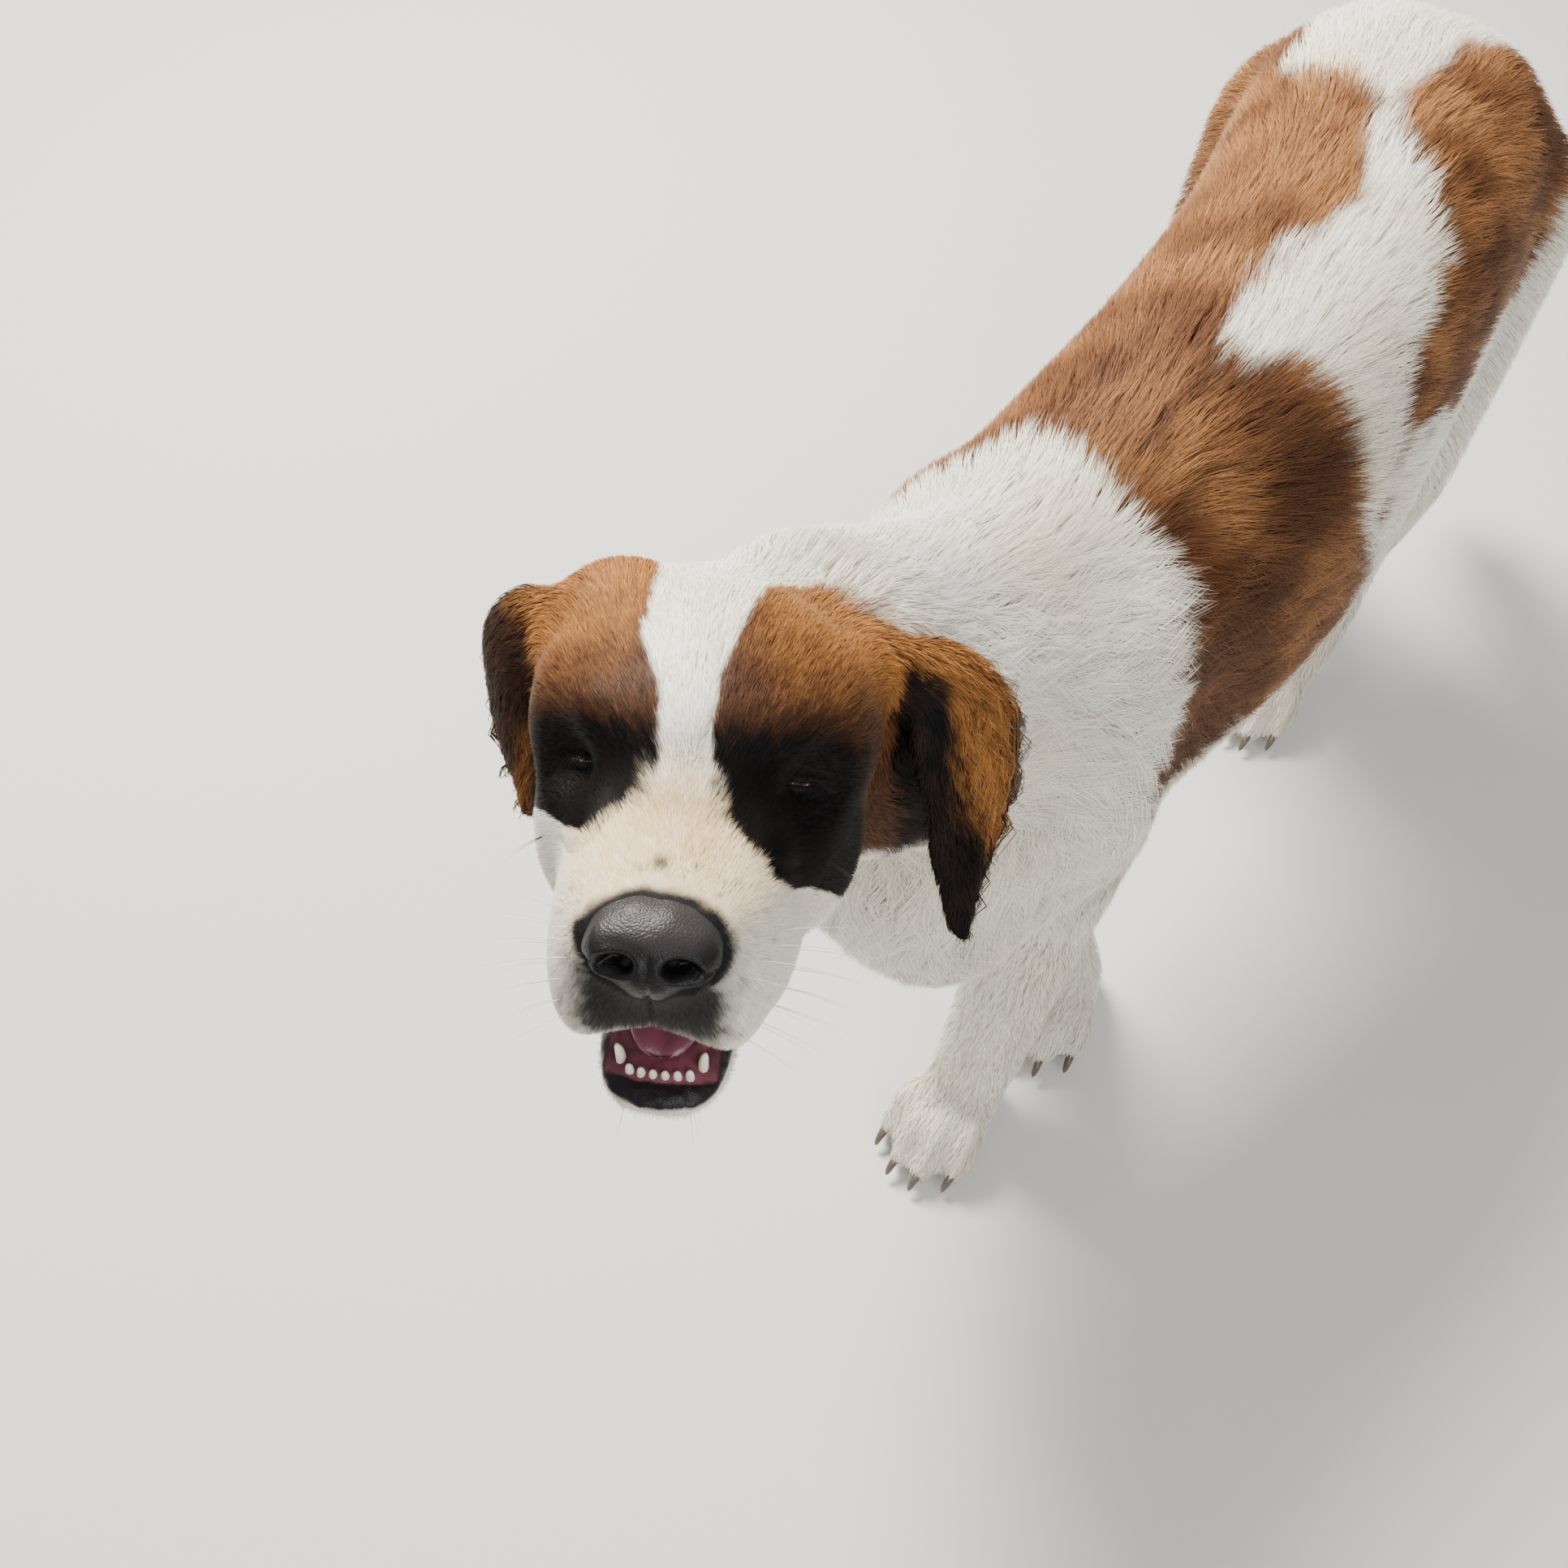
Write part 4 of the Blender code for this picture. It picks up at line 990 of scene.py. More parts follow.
class Coat:
    """What every blade needs from the skin: its faces, flow and measures at each vertex."""

    def __init__(self, skin, hues, stretch):
        mesh = skin.data
        self.hues = hues
        self.points = coordinates(mesh)
        self.normals = normals(mesh)
        self.faces, self.loops = corners_of(mesh)
        uv = np.empty(len(mesh.loops) * 2, np.float32)
        mesh.uv_layers.active.data.foreach_get("uv", uv)
        self.uv = uv.reshape(-1, 2)
        way, self.length, self.depth = lie_at(self.points, lie_guides())
        self.length = self.length * stretch
        nose_gap = gap_to("nose", self.points, 0.012)
        self.hair = fur_share(self.points, nose_gap)
        self.hair *= step(0.003, 0.009, self.points[:, 2])
        for side in EYES:
            u, v, w, _ = lid_place(self.points, side)
            close = step(0.026, 0.012, np.hypot(u, v)) * step(0.0, 0.004, w)
            self.length = self.length * (1 - 0.45 * close)
            self.depth = self.depth * (1 - 0.45 * close)
        close = step(0.010, 0.001, nose_gap)
        self.length = self.length * (1 - 0.5 * close)
        self.depth = self.depth * (1 - 0.6 * close)
        # Wavy locks behind the front edge of the left ear, and at the rims of both
        head = in_head(self.points)
        x, y, z = head.T
        locks = step(0.086, 0.092, np.abs(x)) * step(0.045, 0.058, y) * step(0.030, 0.010, z)
        locks *= np.where(x > 0, step(0.150, 0.165, 0.74 * x + 0.67 * y), 0.6)
        self.curl = 1 + 3.0 * locks
        self.length = self.length * (1 + 0.60 * locks)
        swirl = np.stack([noise(self.points, 0.045, 40 + k) for k in range(3)], 1)
        way = way + 0.22 * swirl
        self.way = unit(way - self.normals * (way * self.normals).sum(1, keepdims=True))
        self.half, self.tip = self.flow(mesh)

    def flow(self, mesh):
        """From each vertex to a full-length hair's middle and to its tip."""
        tree = tree_of(mesh)
        here, way, over = self.points, self.way, self.normals
        stops = []
        for lift in (0.75, 0.98):
            aim = here + way * (self.length * 0.5)[:, None]
            hits = [tree.find_nearest(point) for point in aim.tolist()]
            spot = np.array([hit[0] for hit in hits])
            over = np.array([hit[1] for hit in hits])
            drift = spot - here
            far = np.linalg.norm(drift, axis=1, keepdims=True) < 0.25 * (self.length * 0.5)[:, None]
            spot = np.where(far, aim, spot)
            stops.append(spot + over * (self.depth * lift)[:, None] - self.points)
            way = unit(way - over * (way * over).sum(1, keepdims=True) + 1e-9)
            here = spot
        return stops


# Share of the blades that stray from their clump, and of the brown ones painted as glints
LOOSE = 0.04
GLINTS = 0.07

# A blade by its number of triangles: where its rows stand along it, their widths and its faces
SHAPES = {
    1: ((0.0, 1.0), (1.0, 0.0), ((0, 2, 1),)),
    3: ((0.0, 0.55, 1.0), (1.0, 0.75, 0.0), ((0, 3, 1), (0, 2, 3), (2, 4, 3))),
    5: (
        (0.0, 0.36, 0.70, 1.0), (1.0, 0.88, 0.58, 0.0),
        ((0, 3, 1), (0, 2, 3), (2, 5, 3), (2, 4, 5), (4, 6, 5)),
    ),
}


def blades(coat, chosen, count, width, clump, wave, triangles, seed):
    """Points, faces, normals, colours and unwrap of blades on the skin's chosen triangles."""
    rng = np.random.default_rng(seed)
    faces = coat.faces[chosen]
    loops = coat.loops[chosen]
    total = np.cumsum(areas(coat.points, faces) * coat.hair[faces].mean(1))
    pick = np.searchsorted(total, (np.arange(count) + rng.random(count)) / count * total[-1])
    pick = np.minimum(pick, len(faces) - 1)
    r1, r2 = np.sqrt(rng.random(count)), rng.random(count)
    share = np.stack([1 - r1, r1 * (1 - r2), r1 * r2], 1)

    def blend(values):
        return (values[faces[pick]] * share[..., None]).sum(1)

    root = blend(coat.points)
    over = unit(blend(coat.normals))
    half, tip = blend(coat.half), blend(coat.tip)
    length = (coat.length[faces[pick]] * share).sum(1)
    bend = wave * (coat.curl[faces[pick]] * share).sum(1)
    uv = (coat.uv[loops[pick]] * share[..., None]).sum(1)
    # Clumps: hairs whose roots share a small uneven cell lean to its middle
    warp = root + 0.35 * clump * np.stack([noise(root, clump * 1.6, seed + k) for k in range(3)], 1)
    cell = np.floor(warp / clump).astype(np.int64)
    key = cell[:, 0] * 4000037 + cell[:, 1] * 2003 + cell[:, 2]
    _, group = np.unique(key, return_inverse=True)
    many = np.bincount(group)
    middle = np.stack([np.bincount(group, root[:, k]) / many for k in range(3)], 1)[group]
    phase = rng.random(len(many))[group]
    lean = rng.normal(0, 1, len(many))[group]
    side = unit(np.cross(over, tip))
    roll = rng.normal(0, 0.35, count)[:, None]
    flat = side * np.cos(roll) + over * np.sin(roll)
    reach = rng.uniform(0.60, 1.06, count)
    loose = rng.random(count) < LOOSE
    spread = rng.normal(0, 0.045, (count, 2)) + loose[:, None] * rng.normal(0, 0.09, (count, 2))
    stops, widths, pattern = SHAPES[triangles]
    pull = rng.uniform(0.20, 0.70, count)
    broad = width * rng.uniform(0.65, 1.25, count)
    base = coat_colours(root + half * 0.3, coat.hues)
    pale = step(0.25, 0.55, base.mean(1))
    tone = 1 + rng.normal(0, 1, count) * (0.22 - 0.13 * pale) + 0.05 * lean
    # A few hairs among the brown are painted lighter, as glints of light
    tone = tone + (rng.random(count) < GLINTS) * (0.6 - 0.6 * pale)
    corners, facing, colours, places = [], [], [], []
    for stop, wide in zip(stops, widths):
        s = (stop * reach)[:, None]
        at = root + half * 4 * s * (1 - s) + tip * s * (2 * s - 1)
        at = at + (middle - root) * (pull[:, None] * s ** 1.3)
        curl = np.sin(2 * math.pi * (stop * 1.15 + phase)) - np.sin(2 * math.pi * phase)
        aside = bend * curl + 0.04 * lean * stop + spread[:, 0] * stop
        at = at + side * (length * aside)[:, None]
        at = at + over * (length * (np.abs(spread[:, 1]) * 0.5) * stop)[:, None]
        at = at - over * (ROOT_DEPTH * (1 - stop))
        # Roots are in shade and tips catch the light, least on the white
        bright = tone * (0.60 + 0.26 * pale + (0.62 - 0.42 * pale) * stop)
        tint = np.clip(base * bright[:, None], 0.002, 0.92)
        for hand in ((-1, 1) if wide else (0,)):
            corners.append(at + flat * (0.5 * broad * wide * hand)[:, None])
            facing.append(unit(over + side * (0.45 * hand)))
            colours.append(tint)
            places.append(uv + (BLADE_PATCH * 0.5 * wide * hand, BLADE_PATCH * (stop - 0.5)))
    points = np.stack(corners, 1)
    points[..., 2] = np.maximum(points[..., 2], TIP_FLOOR)
    per = points.shape[1]
    order = np.array(pattern)[None] + (np.arange(count) * per)[:, None, None]
    rows = [np.stack(part, 1).reshape(-1, part[0].shape[1]) for part in (facing, colours, places)]
    return points.reshape(-1, 3), order.reshape(-1, 3), *rows


def coat_piece(name, made, material):
    points, faces, facing, colours, places = made
    mesh = mesh_of(name, points, faces)
    paint(mesh, colours)
    # Each blade is lit as a round hair that lies on the skin
    lit = mesh.attributes.new("custom_normal", "FLOAT_VECTOR", "POINT")
    lit.data.foreach_set("vector", facing.astype(np.float32).ravel())
    layer = mesh.uv_layers.new(name="OFBake")
    layer.data.foreach_set("uv", places[faces.ravel()].astype(np.float32).ravel())
    mesh.materials.append(material)
    new_object(name, mesh)


def zones(coat):
    """The skin's triangles by zone, from the muzzle to the tail."""
    middle = coat.points[coat.faces].mean(1)
    head = in_head(middle)
    dog = middle - SHIFT
    away = np.linalg.norm(head, axis=1)
    muzzle = (head[:, 1] < -0.004) & (away < 0.19) & (head[:, 2] < 0.012)
    face = ~muzzle & (head[:, 1] < 0.085) & (away < 0.17) & (np.abs(head[:, 0]) < 0.088)
    crown = ~muzzle & ~face & (head[:, 1] < 0.135) & (away < 0.24)
    tail_side = np.interp(dog[:, 2], (0.15, 0.35, 0.55), (0.75, 0.69, 0.66))
    upper = ~(muzzle | face | crown)
    tail = upper & (dog[:, 1] > tail_side) & (np.abs(dog[:, 0] - 0.02) < 0.075)
    legs = upper & ~tail & (dog[:, 2] < np.where(dog[:, 1] < 0.3, 0.30, 0.32))
    rest = upper & ~tail & ~legs
    front = rest & (dog[:, 1] < -0.02)
    ribs = rest & ~front & (dog[:, 1] < 0.30)
    hips = rest & ~front & ~ribs
    return {
        "muzzle": muzzle, "face": face, "crown": crown, "tail": tail, "legs": legs, "front": front,
        "ribs": ribs, "hips": hips,
    }


# Each zone's coat: blades, their width and clump in mm, wave, triangles each, and pieces
COAT_PLAN = {
    "muzzle": (90000, 0.42, 2.4, 0.0, 1, 1),
    "face": (58000, 0.50, 3.2, 0.010, 3, 1),
    "crown": (42000, 0.72, 5.0, 0.035, 5, 2),
    "legs": (50000, 0.84, 5.0, 0.020, 3, 1),
    "front": (88000, 0.66, 7.0, 0.035, 3, 2),
    "ribs": (92000, 0.64, 6.5, 0.035, 3, 2),
    "hips": (78000, 0.68, 7.0, 0.035, 3, 2),
    "tail": (18000, 1.10, 10.0, 0.040, 5, 1),
}


def build_coat(skin, sizes, hues):
    """The hair of every zone, in pieces of under 200,000 triangles."""
    material = coat_material()
    coat = Coat(skin, hues, sizes.hair_length)
    for index, (zone, where) in enumerate(zones(coat).items()):
        count, width, clump, wave, triangles, pieces = COAT_PLAN[zone]
        count = int(count * sizes.hair_share)
        width = width * sizes.hair_width
        chosen = np.flatnonzero(where)
        middle = coat.points[coat.faces[chosen]].mean(1)
        chosen = chosen[np.argsort(middle[:, 1])]
        area = areas(coat.points, coat.faces[chosen])
        cuts = np.searchsorted(np.cumsum(area), area.sum() * np.arange(1, pieces) / pieces)
        for number, part in enumerate(np.split(chosen, cuts)):
            name = f"coat_{zone}_{number + 1}"
            seed = 100 + 10 * index + number
            fur = blades(
                coat, part, count // pieces, width / 1000, clump / 1000, wave, triangles, seed)
            coat_piece(name, fur, material)


def whisker_rows():
    """Roots, ways and lengths of the whiskers and brow hairs, in the head's frame."""
    rows = []
    rng = np.random.default_rng(7)
    for side in (-1, 1):
        for line in range(4):
            for k in range(4):
                root = (side * (0.034 + 0.004 * k), -0.096 + 0.013 * k, -0.044 - 0.009 * line)
                out, back = 0.9 + 0.1 * rng.random(), 0.2 + 0.22 * k + 0.1 * rng.random()
                way = (side * out, back, -0.25 - 0.12 * line)
                rows.append((root, way, 0.030 + 0.008 * k + 0.010 * rng.random(), 0))
        for k in range(5):
            root = (side * (0.034 + 0.006 * k), -0.010 + 0.005 * k, 0.030 - 0.001 * k * k)
            way = (side * (0.2 + 0.1 * k), -0.80, 0.45)
            rows.append((root, way, 0.013 + 0.003 * rng.random(), 1))
        for k in range(3):
            way = (side * 0.9, 0.1 + 0.2 * k, -0.6)
            rows.append(((side * 0.062, 0.012, -0.044), way, 0.026, 1))
        for k in range(4):
            root = (side * 0.014, -0.060 + 0.01 * k, -0.138)
            rows.append((root, (side * 0.25, -0.45 + 0.2 * k, -1), 0.014 + 0.003 * k, 0))
        # Lashes along the upper lid
        eye = "left" if side > 0 else "right"
        centre = in_head(EYES[eye])
        along, up, out = (axis @ HEAD_TURN for axis in eye_axes(eye))
        for k in range(14):
            u = -0.010 + 0.020 * k / 13
            root = centre + along * u + up * (0.0012 - SLIT_BOW * u * u) + out * 0.0135
            way = out * 0.8 - up * 0.5 + along * (u * 30)
            rows.append((root, way, 0.0065 + 0.0015 * rng.random(), 1))
    return rows


def build_whiskers(skin, sizes, hues):
    """Stiff tapered hairs, three-sided, set in the skin."""
    tree = tree_of(skin.data)
    points, faces, dark = [], [], []
    rings = 6
    for root, way, length, black in whisker_rows():
        start = np.array(tree.find_nearest(Vector(from_head(root)))[0])
        way = unit(np.array(way, float)) @ HEAD_TURN.T
        down = np.array((0, 0, -1.0))
        aside = unit(np.cross(way, down))
        other = np.cross(aside, way)
        first = len(points)
        for k in range(rings):
            s = k / (rings - 1)
            middle = start + way * (length * s - 0.001) + down * (length * 0.22 * s * s)
            thick = sizes.whisker * (1 - 0.25 * black) * (1 - s) + 0.00003
            dark += [black] * 3
            for a in (0, 2.1, 4.2):
                points.append(middle + thick * (math.cos(a) * aside + math.sin(a) * other))
        faces += tube_faces(first, 3, rings)
    mesh = mesh_of("whiskers", points, faces)
    paint(mesh, mix(np.tile(hues.white * 0.9, (len(points), 1)), hues.black, np.array(dark)))
    mesh.materials.append(whisker_material())
    new_object("whiskers", mesh)


def ball_mesh(name, rows, columns, shape):
    """A closed ball of rows and columns; shape gives its points from (polar, round) angles."""
    polar = np.linspace(0, math.pi, rows + 1)[1:-1]
    turn = np.linspace(0, 2 * math.pi, columns, endpoint=False)
    grid = np.array([(p, t) for p in polar for t in turn])
    ends = np.array([(0.0, 0.0), (math.pi, 0.0)])
    points = np.vstack([shape(grid), shape(ends[:1]), shape(ends[1:])])
    faces = []
    for r in range(len(polar) - 1):
        for c in range(columns):
            a, b = r * columns + c, r * columns + (c + 1) % columns
            faces += [(a, a + columns, b + columns), (a, b + columns, b)]
    top, bottom = len(grid), len(grid) + 1
    last = (len(polar) - 1) * columns
    for c in range(columns):
        faces += [(top, c, (c + 1) % columns), (bottom, last + (c + 1) % columns, last + c)]
    return mesh_of(name, points, faces), np.vstack([grid, ends])


def build_eyes(hues):
    """Brown eyes with a dark rim and a clear bulge."""
    material = eye_material()
    for side, centre in EYES.items():
        along, up, out = eye_axes(side)

        def shape(grid):
            polar, turn = grid.T
            bulge = 0.0010 * (1 - step(0.30, 0.62, polar))
            radius = EYE_RADIUS - 0.0006 + bulge * 0.6
            return centre + radius[:, None] * (
                np.cos(polar)[:, None] * out
                + (np.sin(polar) * np.cos(turn))[:, None] * along
                + (np.sin(polar) * np.sin(turn))[:, None] * up)

        mesh, grid = ball_mesh(f"eye_{side}_ball", 28, 32, shape)
        polar = grid[:, 0]
        rays = step(0.25, 0.50, polar) * (0.6 + 0.4 * np.sin(grid[:, 1] * 24))
        iris = mix(hues.iris * 0.3, hues.iris, rays)
        tint = mix(hues.black * 0.3, iris, step(0.20, 0.24, polar))
        tint = mix(tint, hues.iris * 0.12, step(0.50, 0.60, polar))
        tint = mix(tint, hues.eye_white, step(0.62, 0.72, polar))
        paint(mesh, tint)
        mesh.materials.append(material)
        new_object(f"eye_{side}_ball", mesh, [f"eye_{side}"])


def build_nose(sizes, hues):
    """Nose leather: pebbled, moist, with comma-shaped nostrils and a groove down its middle."""
    mesh = remeshed("nose_leather", node_bmesh("nose"), NOSE_VOXEL)
    edges = edges_of(mesh)
    points = relaxed(coordinates(mesh), edges, 14, np.full(len(mesh.vertices), 0.5))
    move(mesh, points)
    head = in_head(points)
    x, y, z = head.T
    over = normals(mesh) @ HEAD_TURN
    front = step(-0.098, -0.108, y)
    side = np.abs(x)
    # The nostril is an oval hole whose tail runs back along the wing of the nose
    ring = np.hypot((side - 0.0140) / 0.0072, (z + 0.0345 + 0.10 * (side - 0.014)) / 0.0046)
    hole = np.exp(-ring ** 3.2) * front
    tail = bell(z + 0.0375, 0.0017) * step(0.017, 0.021, side) * step(0.0285, 0.0250, side)
    groove = bell(x, 0.0012) * step(-0.026, -0.034, z) * front
    top = bell(x, 0.0060) * step(-0.030, -0.016, z) * 0.35
    sunk = 0.0085 * hole + 0.0030 * tail * (1 - hole) + 0.0016 * groove + 0.0010 * top
    wing = 0.0009 * bell(ring - 1.35, 0.25) * front * step(-0.046, -0.042, z)
    head = head - over * sunk[:, None] + over * wing[:, None]
    move(mesh, from_head(head))
    smooth(mesh)
    # Painted sheen: the top of the nose leather is lighter where light falls on it
    colour = mix(hues.leather, hues.leather_sheen, step(-0.030, -0.018, z) * 0.65)
    # Painted shade: the nostrils and their tails are darker than the leather
    colour = mix(colour, hues.black * 0.35, np.clip(hole * 1.5 + tail * 0.8, 0, 1))
    paint(mesh, colour)
    mesh.materials.append(nose_material(sizes.pebble))
    new_object("nose_leather", mesh, ["nose"])


def build_mouth(hues):
    """The tongue and the lower teeth that the open mouth shows."""
    def tongue_shape(grid):
        polar, turn = grid.T
        p = np.stack([
            np.sin(polar) ** 0.7 * np.cos(turn) * 0.0205, -np.cos(polar) * 0.052 - 0.0215,
            np.sin(polar) * np.sin(turn) * 0.0080 - 0.0640,
        ], 1)
        p[:, 2] -= 0.0030 * bell(p[:, 0], 0.0035) * (np.sin(turn) > 0)
        p[:, 2] += 0.0030 * (p[:, 0] / 0.0175) ** 2
        return from_jaw(p)

    mesh, _ = ball_mesh("tongue_body", 24, 28, tongue_shape)
    # The tongue's colour holds painted shade of the mouth's inside as well as its own mauve pink
    mesh.materials.append(tongue_material(hues.tongue))
    new_object("tongue_body", mesh, ["tongue"])
    points, faces = [], []
    sides, rings = 8, 5
    for across, back, low, wide, thick, tall, lean in tooth_rows():
        first = len(points)
        for k in range(rings):
            s = k / (rings - 1)
            girth = math.sqrt(1 - (s * 0.96) ** 2.6)
            for j in range(sides):
                a = 2 * math.pi * j / sides
                points.append(from_jaw((
                    across + lean[0] * s * s + math.cos(a) * wide * girth,
                    back + lean[1] * s * s + math.sin(a) * thick * girth, low + tall * s)))
        faces += tube_faces(first, sides, rings, caps=(rings - 1,))
    mesh = mesh_of("lower_teeth", points, faces)
    mesh.materials.append(tooth_material(hues.tooth))
    new_object("lower_teeth", mesh)


def tooth_rows():
    """Six lower incisors in a shallow arc and the two canines, in the closed jaw's frame."""
    rows = []
    for index in range(6):
        across = (index - 2.5) * 0.0054
        back = -0.0768 + 10.0 * across ** 2
        rows.append((across, back, -0.0765, 0.0022, 0.0020, 0.0082, (0, -0.001)))
    for side in (-1, 1):
        lean = (side * 0.0012, -0.002)
        rows.append((side * 0.0185, -0.0685, -0.0770, 0.0025, 0.0030, 0.0150, lean))
    return rows


def build_claws(sizes, hues):
    """A curved horn claw over each of the CAD's."""
    points, faces = [], []
    sides, rings = 10, 8
    names = sorted(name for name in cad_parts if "claw" in name)
    for name in names:
        leg = name.split("_claw")[0]
        turn = math.radians(-FEET[leg][1])
        forward = np.array((math.sin(turn), -math.cos(turn), 0.0))
        across = np.array((math.cos(turn), math.sin(turn), 0.0))
        verts = coordinates(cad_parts[name].data)
        reach = verts @ forward
        near = verts[reach < reach.min() + 0.002].mean(0)
        far = verts[reach > reach.max() - 0.002].mean(0)
        near = near - forward * 0.006 + (0, 0, 0.001)
        far = far - forward * 0.0065 + (0, 0, 0.0025)
        first = len(points)
        for k in range(rings):
            s = k / (rings - 1)
            middle = near + (far - near) * s + np.array((0, 0, 0.0030 * math.sin(math.pi * s)))
            girth = sizes.claw * (1 - s ** 3.2) ** 0.55 + 0.0002
            for j in range(sides):
                a = 2 * math.pi * j / sides
                point = middle + across * (math.cos(a) * girth * 0.78)
                point[2] += math.sin(a) * girth
                point[2] = max(point[2], TIP_FLOOR)
                points.append(point)
        faces += tube_faces(first, sides, rings, caps=(0, rings - 1))
    mesh = mesh_of("claws", points, faces)
    mesh.materials.append(claw_material(hues.claw))
    new_object("claws", mesh, names)


# The photo's camera, in the dog's frame, with its lens in mm; and half the floor's width
CAMERA_AT = (0.2668, -0.6861, 1.35)
LENS = 38.59
FLOOR = 9


def build_stage(settings, hues):
    """A pale floor, a soft key from the dog's right and behind, a fill, and the photo's camera."""
    scene = bpy.context.scene
    corners = [(-FLOOR, -FLOOR, 0), (FLOOR, -FLOOR, 0), (FLOOR, FLOOR, 0), (-FLOOR, FLOOR, 0)]
    floor_mesh = mesh_of("floor", corners, [(0, 1, 2, 3)], rounded=False)
    floor = bpy.data.objects.new("floor", floor_mesh)
    floor_mesh.materials.append(floor_material(hues.floor))
    scene.collection.objects.link(floor)
    target = np.array((0.0, -0.10, 0.45))
    for name, way, away, size, power in (
        ("key", (-0.75, 0.30, 1.05), 3.0, 1.1, settings.key_power),
        ("fill", (0.9, -0.7, 0.9), 3.4, 2.4, settings.key_power * 0.28),
    ):
        lamp = bpy.data.lights.new(name, "AREA")
        lamp.size = size
        lamp.color = (1.0, 0.965, 0.90) if name == "key" else (0.95, 0.97, 1.0)
        lamp.energy = power
        made = bpy.data.objects.new(name, lamp)
        spot = Vector(target + unit(np.array(way)) * away)
        turn = (spot - Vector(target)).to_track_quat("Z", "Y")
        made.matrix_world = Matrix.Translation(spot) @ turn.to_matrix().to_4x4()
        scene.collection.objects.link(made)
    world = bpy.data.worlds.new("studio")
    world.use_nodes = True
    world.node_tree.nodes["Background"].inputs["Color"].default_value = (0.98, 0.98, 1.0, 1)
    world.node_tree.nodes["Background"].inputs["Strength"].default_value = settings.sky
    scene.world = world
    lens = bpy.data.cameras.new("camera")
    lens.sensor_width = 36.0
    lens.lens = LENS
    lens.clip_start = 0.05
    camera = bpy.data.objects.new("camera", lens)
    at = Vector(CAMERA_AT) + Vector(SHIFT)
    turn = Euler((math.radians(35), 0, math.radians(35)), "XYZ")
    camera.matrix_world = Matrix.LocRotScale(at, turn, None)
    scene.collection.objects.link(camera)
    scene.camera = camera


def length_property(name, default, description):
    return bpy.props.FloatProperty(
        name=name, description=description, default=default, min=0.0001, max=0.05, precision=5,
        unit="LENGTH")


def share_property(name, default, description, most):
    return bpy.props.FloatProperty(
        name=name, description=description, default=default, min=0.05, max=most, subtype="FACTOR")


def colour_property(name, code, description):
    return bpy.props.FloatVectorProperty(
        name=name, description=description, default=tuple(linear(code)), size=3, min=0.0, max=1.0,
        subtype="COLOR")


class DOG_PG_sizes(bpy.types.PropertyGroup):
    voxel: length_property("Skin face", 0.004, "Face size of the skin before the face is refined")
    whisker: length_property("Whisker", 0.00024, "Radius of a whisker at its root")
    claw: length_property("Claw", 0.0041, "Half the height of a claw at its root")
    pebble: length_property("Nose pebble", 0.0011, "Width of a pebble of the nose leather")
    hair_share: share_property("Hair share", 1.0, "Share of the full number of hair blades", 1.0)
    hair_length: share_property("Hair length", 1.0, "Length of the hair against the photo's", 1.5)
    hair_width: share_property("Hair width", 1.0, "Width of the blades against the photo's", 3.0)


class DOG_PG_colours(bpy.types.PropertyGroup):
    white: colour_property("White", "F8F4EA", "Blaze, collar, legs and belly")
    cream: colour_property("Cream", "DEC698", "Tint of the muzzle, the breeches and the tail")
    back: colour_property("Back", "94663F", "Reddish brown of the saddle")
    brow: colour_property("Brow", "A06A37", "Tan of the forehead and the ears' locks")
    chestnut: colour_property("Chestnut", "6A4429", "Deeper brown among the saddle and the brow")
    umber: colour_property("Umber", "4A2E1E", "Dark brown of the shoulder and behind the mask")
    black: colour_property("Black", "0A0808", "Mask over the eyes and front of the ears")
    skin: colour_property("Skin", "D8C2A4", "Bare skin that tints the white")
    lip: colour_property("Lip", "1D1719", "Wet black roll of the lips")
    # Gum and tongue: the mouth's own mauve pink with painted shade of the open mouth's inside
    gum: colour_property("Gum", "7C4550", "Inside of the mouth")
    tongue: colour_property("Tongue", "74404F", "Mauve pink of the tongue")
    tooth: colour_property("Tooth", "EFE6D2", "Ivory of the teeth")
    leather: colour_property("Nose", "131212", "Nose leather and the hair under it")
    # Painted sheen that lightens the top of the nose leather
    leather_sheen: colour_property("Nose top", "3B3635", "Drier top of the nose leather")
    iris: colour_property("Iris", "6B3F1E", "Brown of the eyes")
    eye_white: colour_property("Eye white", "8F7468", "Veined rim of the eyeball")
    claw: colour_property("Claw", "594C43", "Dark horn of the claws")
    floor: colour_property("Floor", "D8D6D0", "Studio floor")


class DOG_PG_stage(bpy.types.PropertyGroup):
    key_power: bpy.props.FloatProperty(
        name="Key", description="Power of the key light", default=300.0, min=0.0, unit="POWER")
    sky: bpy.props.FloatProperty(
        name="Sky", description="Strength of the even light", default=0.50, min=0.0, max=5.0)


def palette(context):
    """The chosen colours as arrays."""
    group = context.scene.dog_colours
    keys = DOG_PG_colours.__annotations__
    return SimpleNamespace(**{key: np.array(getattr(group, key)) for key in keys})


class DOG_OT_skin(bpy.types.Operator):
    """Draw the skin over the CAD's flesh"""
    bl_idname = "dog.skin"
    bl_label = "Skin"

    def execute(self, context):
        mesh = build_skin(context.scene.dog_sizes)
        points = coordinates(mesh)
        paint(mesh, skin_colours(points, palette(context)))
        wet = mesh.attributes.new("Wet", "FLOAT", "POINT")
        wet.data.foreach_set("value", wetness(points).astype(np.float32))
        mesh.materials.append(skin_material())
        skin = new_object("skin", mesh, FLESH)
        unwrap(skin)
        return {"FINISHED"}


class DOG_OT_eyes(bpy.types.Operator):
    """Set the eyes under their lids"""
    bl_idname = "dog.eyes"
    bl_label = "Eyes"

    def execute(self, context):
        build_eyes(palette(context))
        return {"FINISHED"}


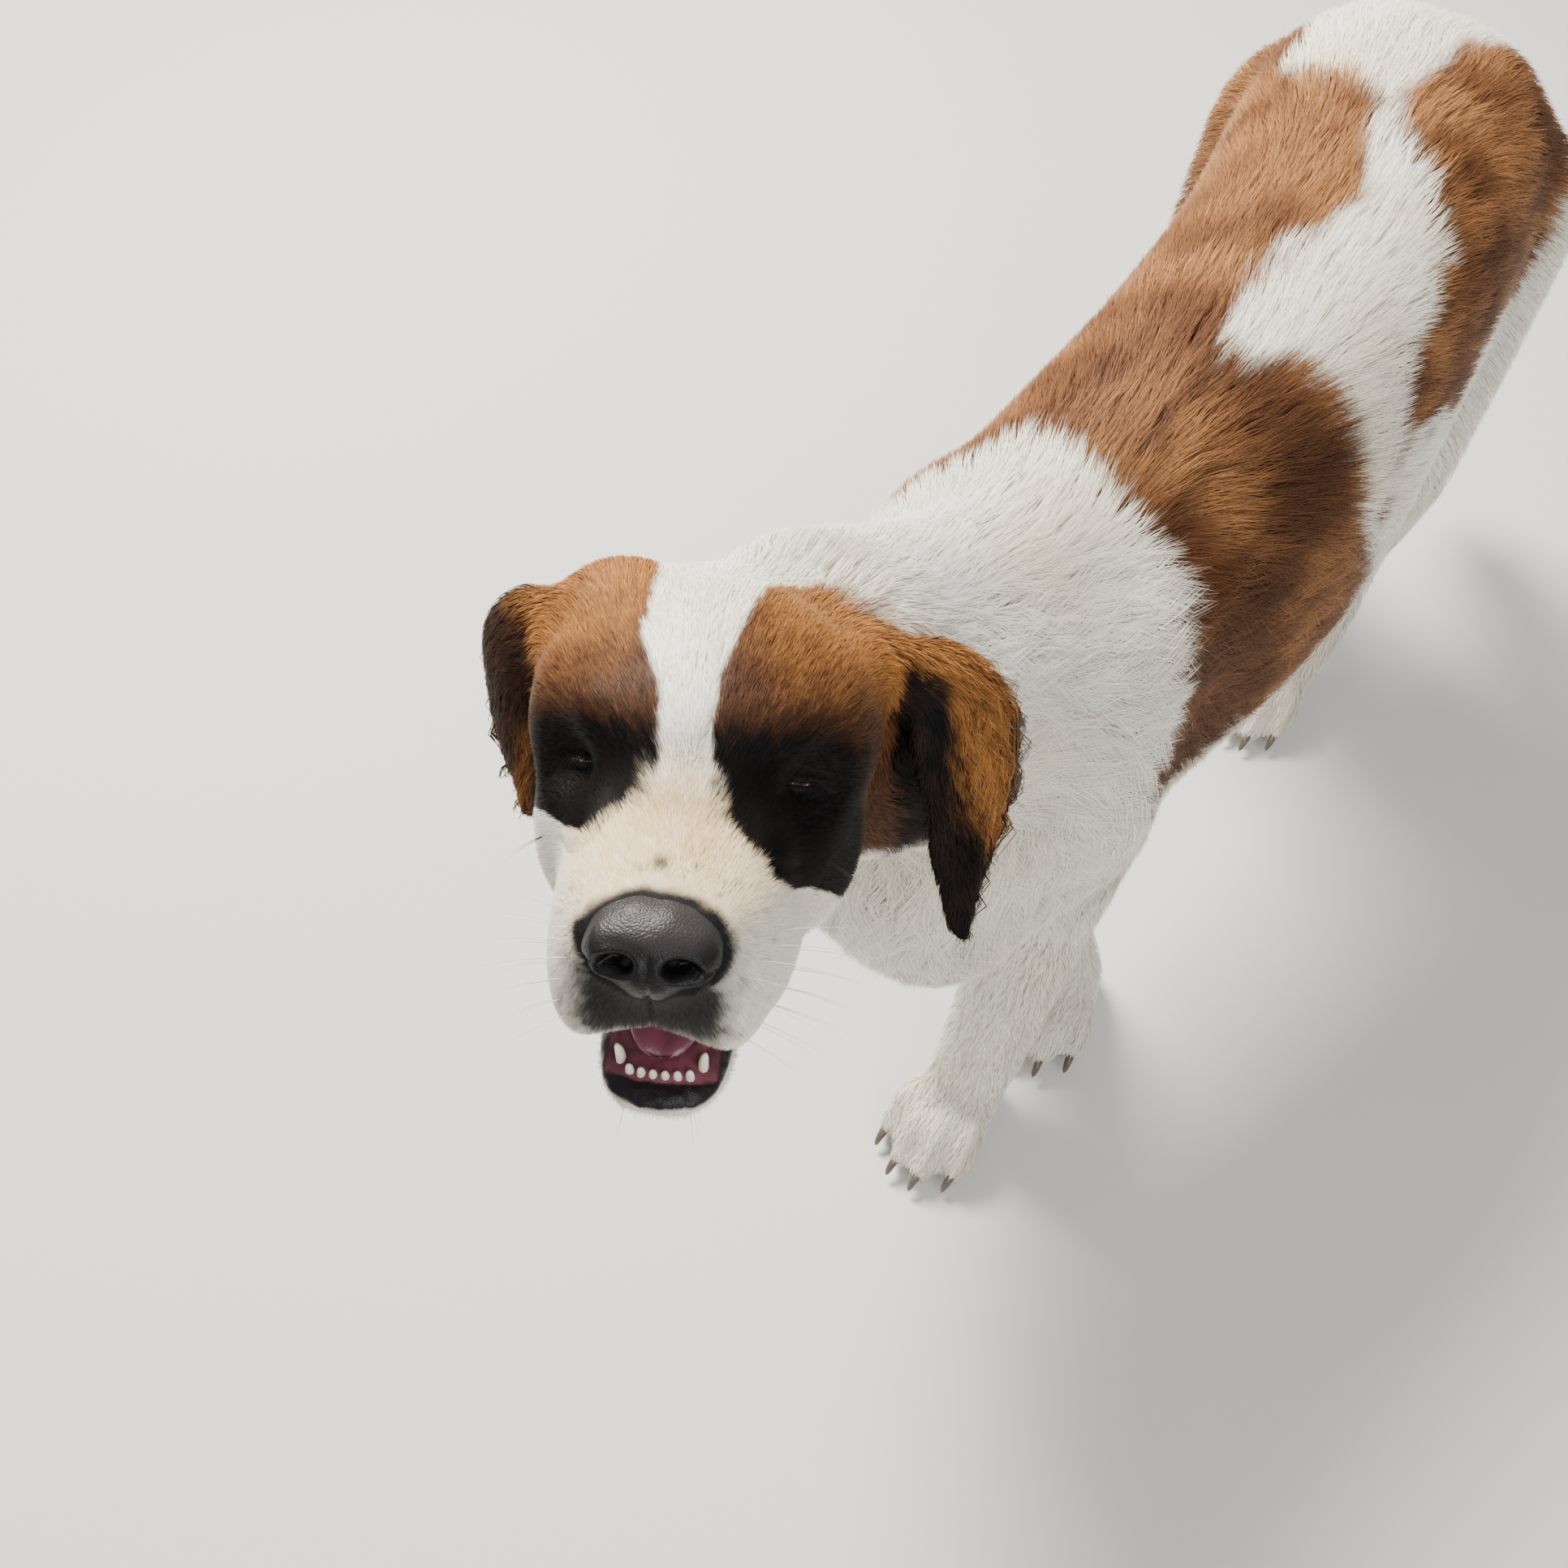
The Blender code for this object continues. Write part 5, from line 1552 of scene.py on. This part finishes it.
class DOG_OT_nose(bpy.types.Operator):
    """Shape the nose leather and its nostrils"""
    bl_idname = "dog.nose"
    bl_label = "Nose"

    def execute(self, context):
        build_nose(context.scene.dog_sizes, palette(context))
        return {"FINISHED"}


class DOG_OT_mouth(bpy.types.Operator):
    """Make the tongue and the teeth"""
    bl_idname = "dog.mouth"
    bl_label = "Mouth"

    def execute(self, context):
        build_mouth(palette(context))
        return {"FINISHED"}


class DOG_OT_claws(bpy.types.Operator):
    """Make the claws"""
    bl_idname = "dog.claws"
    bl_label = "Claws"

    def execute(self, context):
        build_claws(context.scene.dog_sizes, palette(context))
        return {"FINISHED"}


class DOG_OT_coat(bpy.types.Operator):
    """Grow the coat over the skin"""
    bl_idname = "dog.coat"
    bl_label = "Coat"

    def execute(self, context):
        build_coat(bpy.data.objects["skin"], context.scene.dog_sizes, palette(context))
        return {"FINISHED"}


class DOG_OT_whiskers(bpy.types.Operator):
    """Set the whiskers and brow hairs"""
    bl_idname = "dog.whiskers"
    bl_label = "Whiskers"

    def execute(self, context):
        build_whiskers(bpy.data.objects["skin"], context.scene.dog_sizes, palette(context))
        return {"FINISHED"}


class DOG_OT_stage(bpy.types.Operator):
    """Make the floor, the lights and the camera"""
    bl_idname = "dog.stage"
    bl_label = "Stage"

    def execute(self, context):
        build_stage(context.scene.dog_stage, palette(context))
        return {"FINISHED"}


class DOG_PT_panel(bpy.types.Panel):
    """Settings and steps of the dog's looks"""
    bl_idname = "DOG_PT_panel"
    bl_label = "Saint Bernard"
    bl_space_type = "VIEW_3D"
    bl_region_type = "UI"
    bl_category = "Dog"

    def draw(self, context):
        scene = context.scene
        for name, group in GROUPS.items():
            for key in group.__annotations__:
                self.layout.prop(getattr(scene, name), key)
        for operator in OPERATORS:
            self.layout.operator(operator.bl_idname)


OPERATORS = (
    DOG_OT_skin, DOG_OT_eyes, DOG_OT_nose, DOG_OT_mouth, DOG_OT_claws, DOG_OT_coat, DOG_OT_whiskers,
    DOG_OT_stage,
)
GROUPS = {"dog_sizes": DOG_PG_sizes, "dog_colours": DOG_PG_colours, "dog_stage": DOG_PG_stage}


def register():
    for cls in (*GROUPS.values(), *OPERATORS, DOG_PT_panel):
        bpy.utils.register_class(cls)
    for name, group in GROUPS.items():
        setattr(bpy.types.Scene, name, bpy.props.PointerProperty(type=group))


def unregister():
    for name in GROUPS:
        delattr(bpy.types.Scene, name)
    for cls in (DOG_PT_panel, *reversed(OPERATORS), *GROUPS.values()):
        bpy.utils.unregister_class(cls)


def main():
    register()
    for operator in OPERATORS:
        group, action = operator.bl_idname.split(".")
        getattr(getattr(bpy.ops, group), action)()


if __name__ == "__main__":
    main()
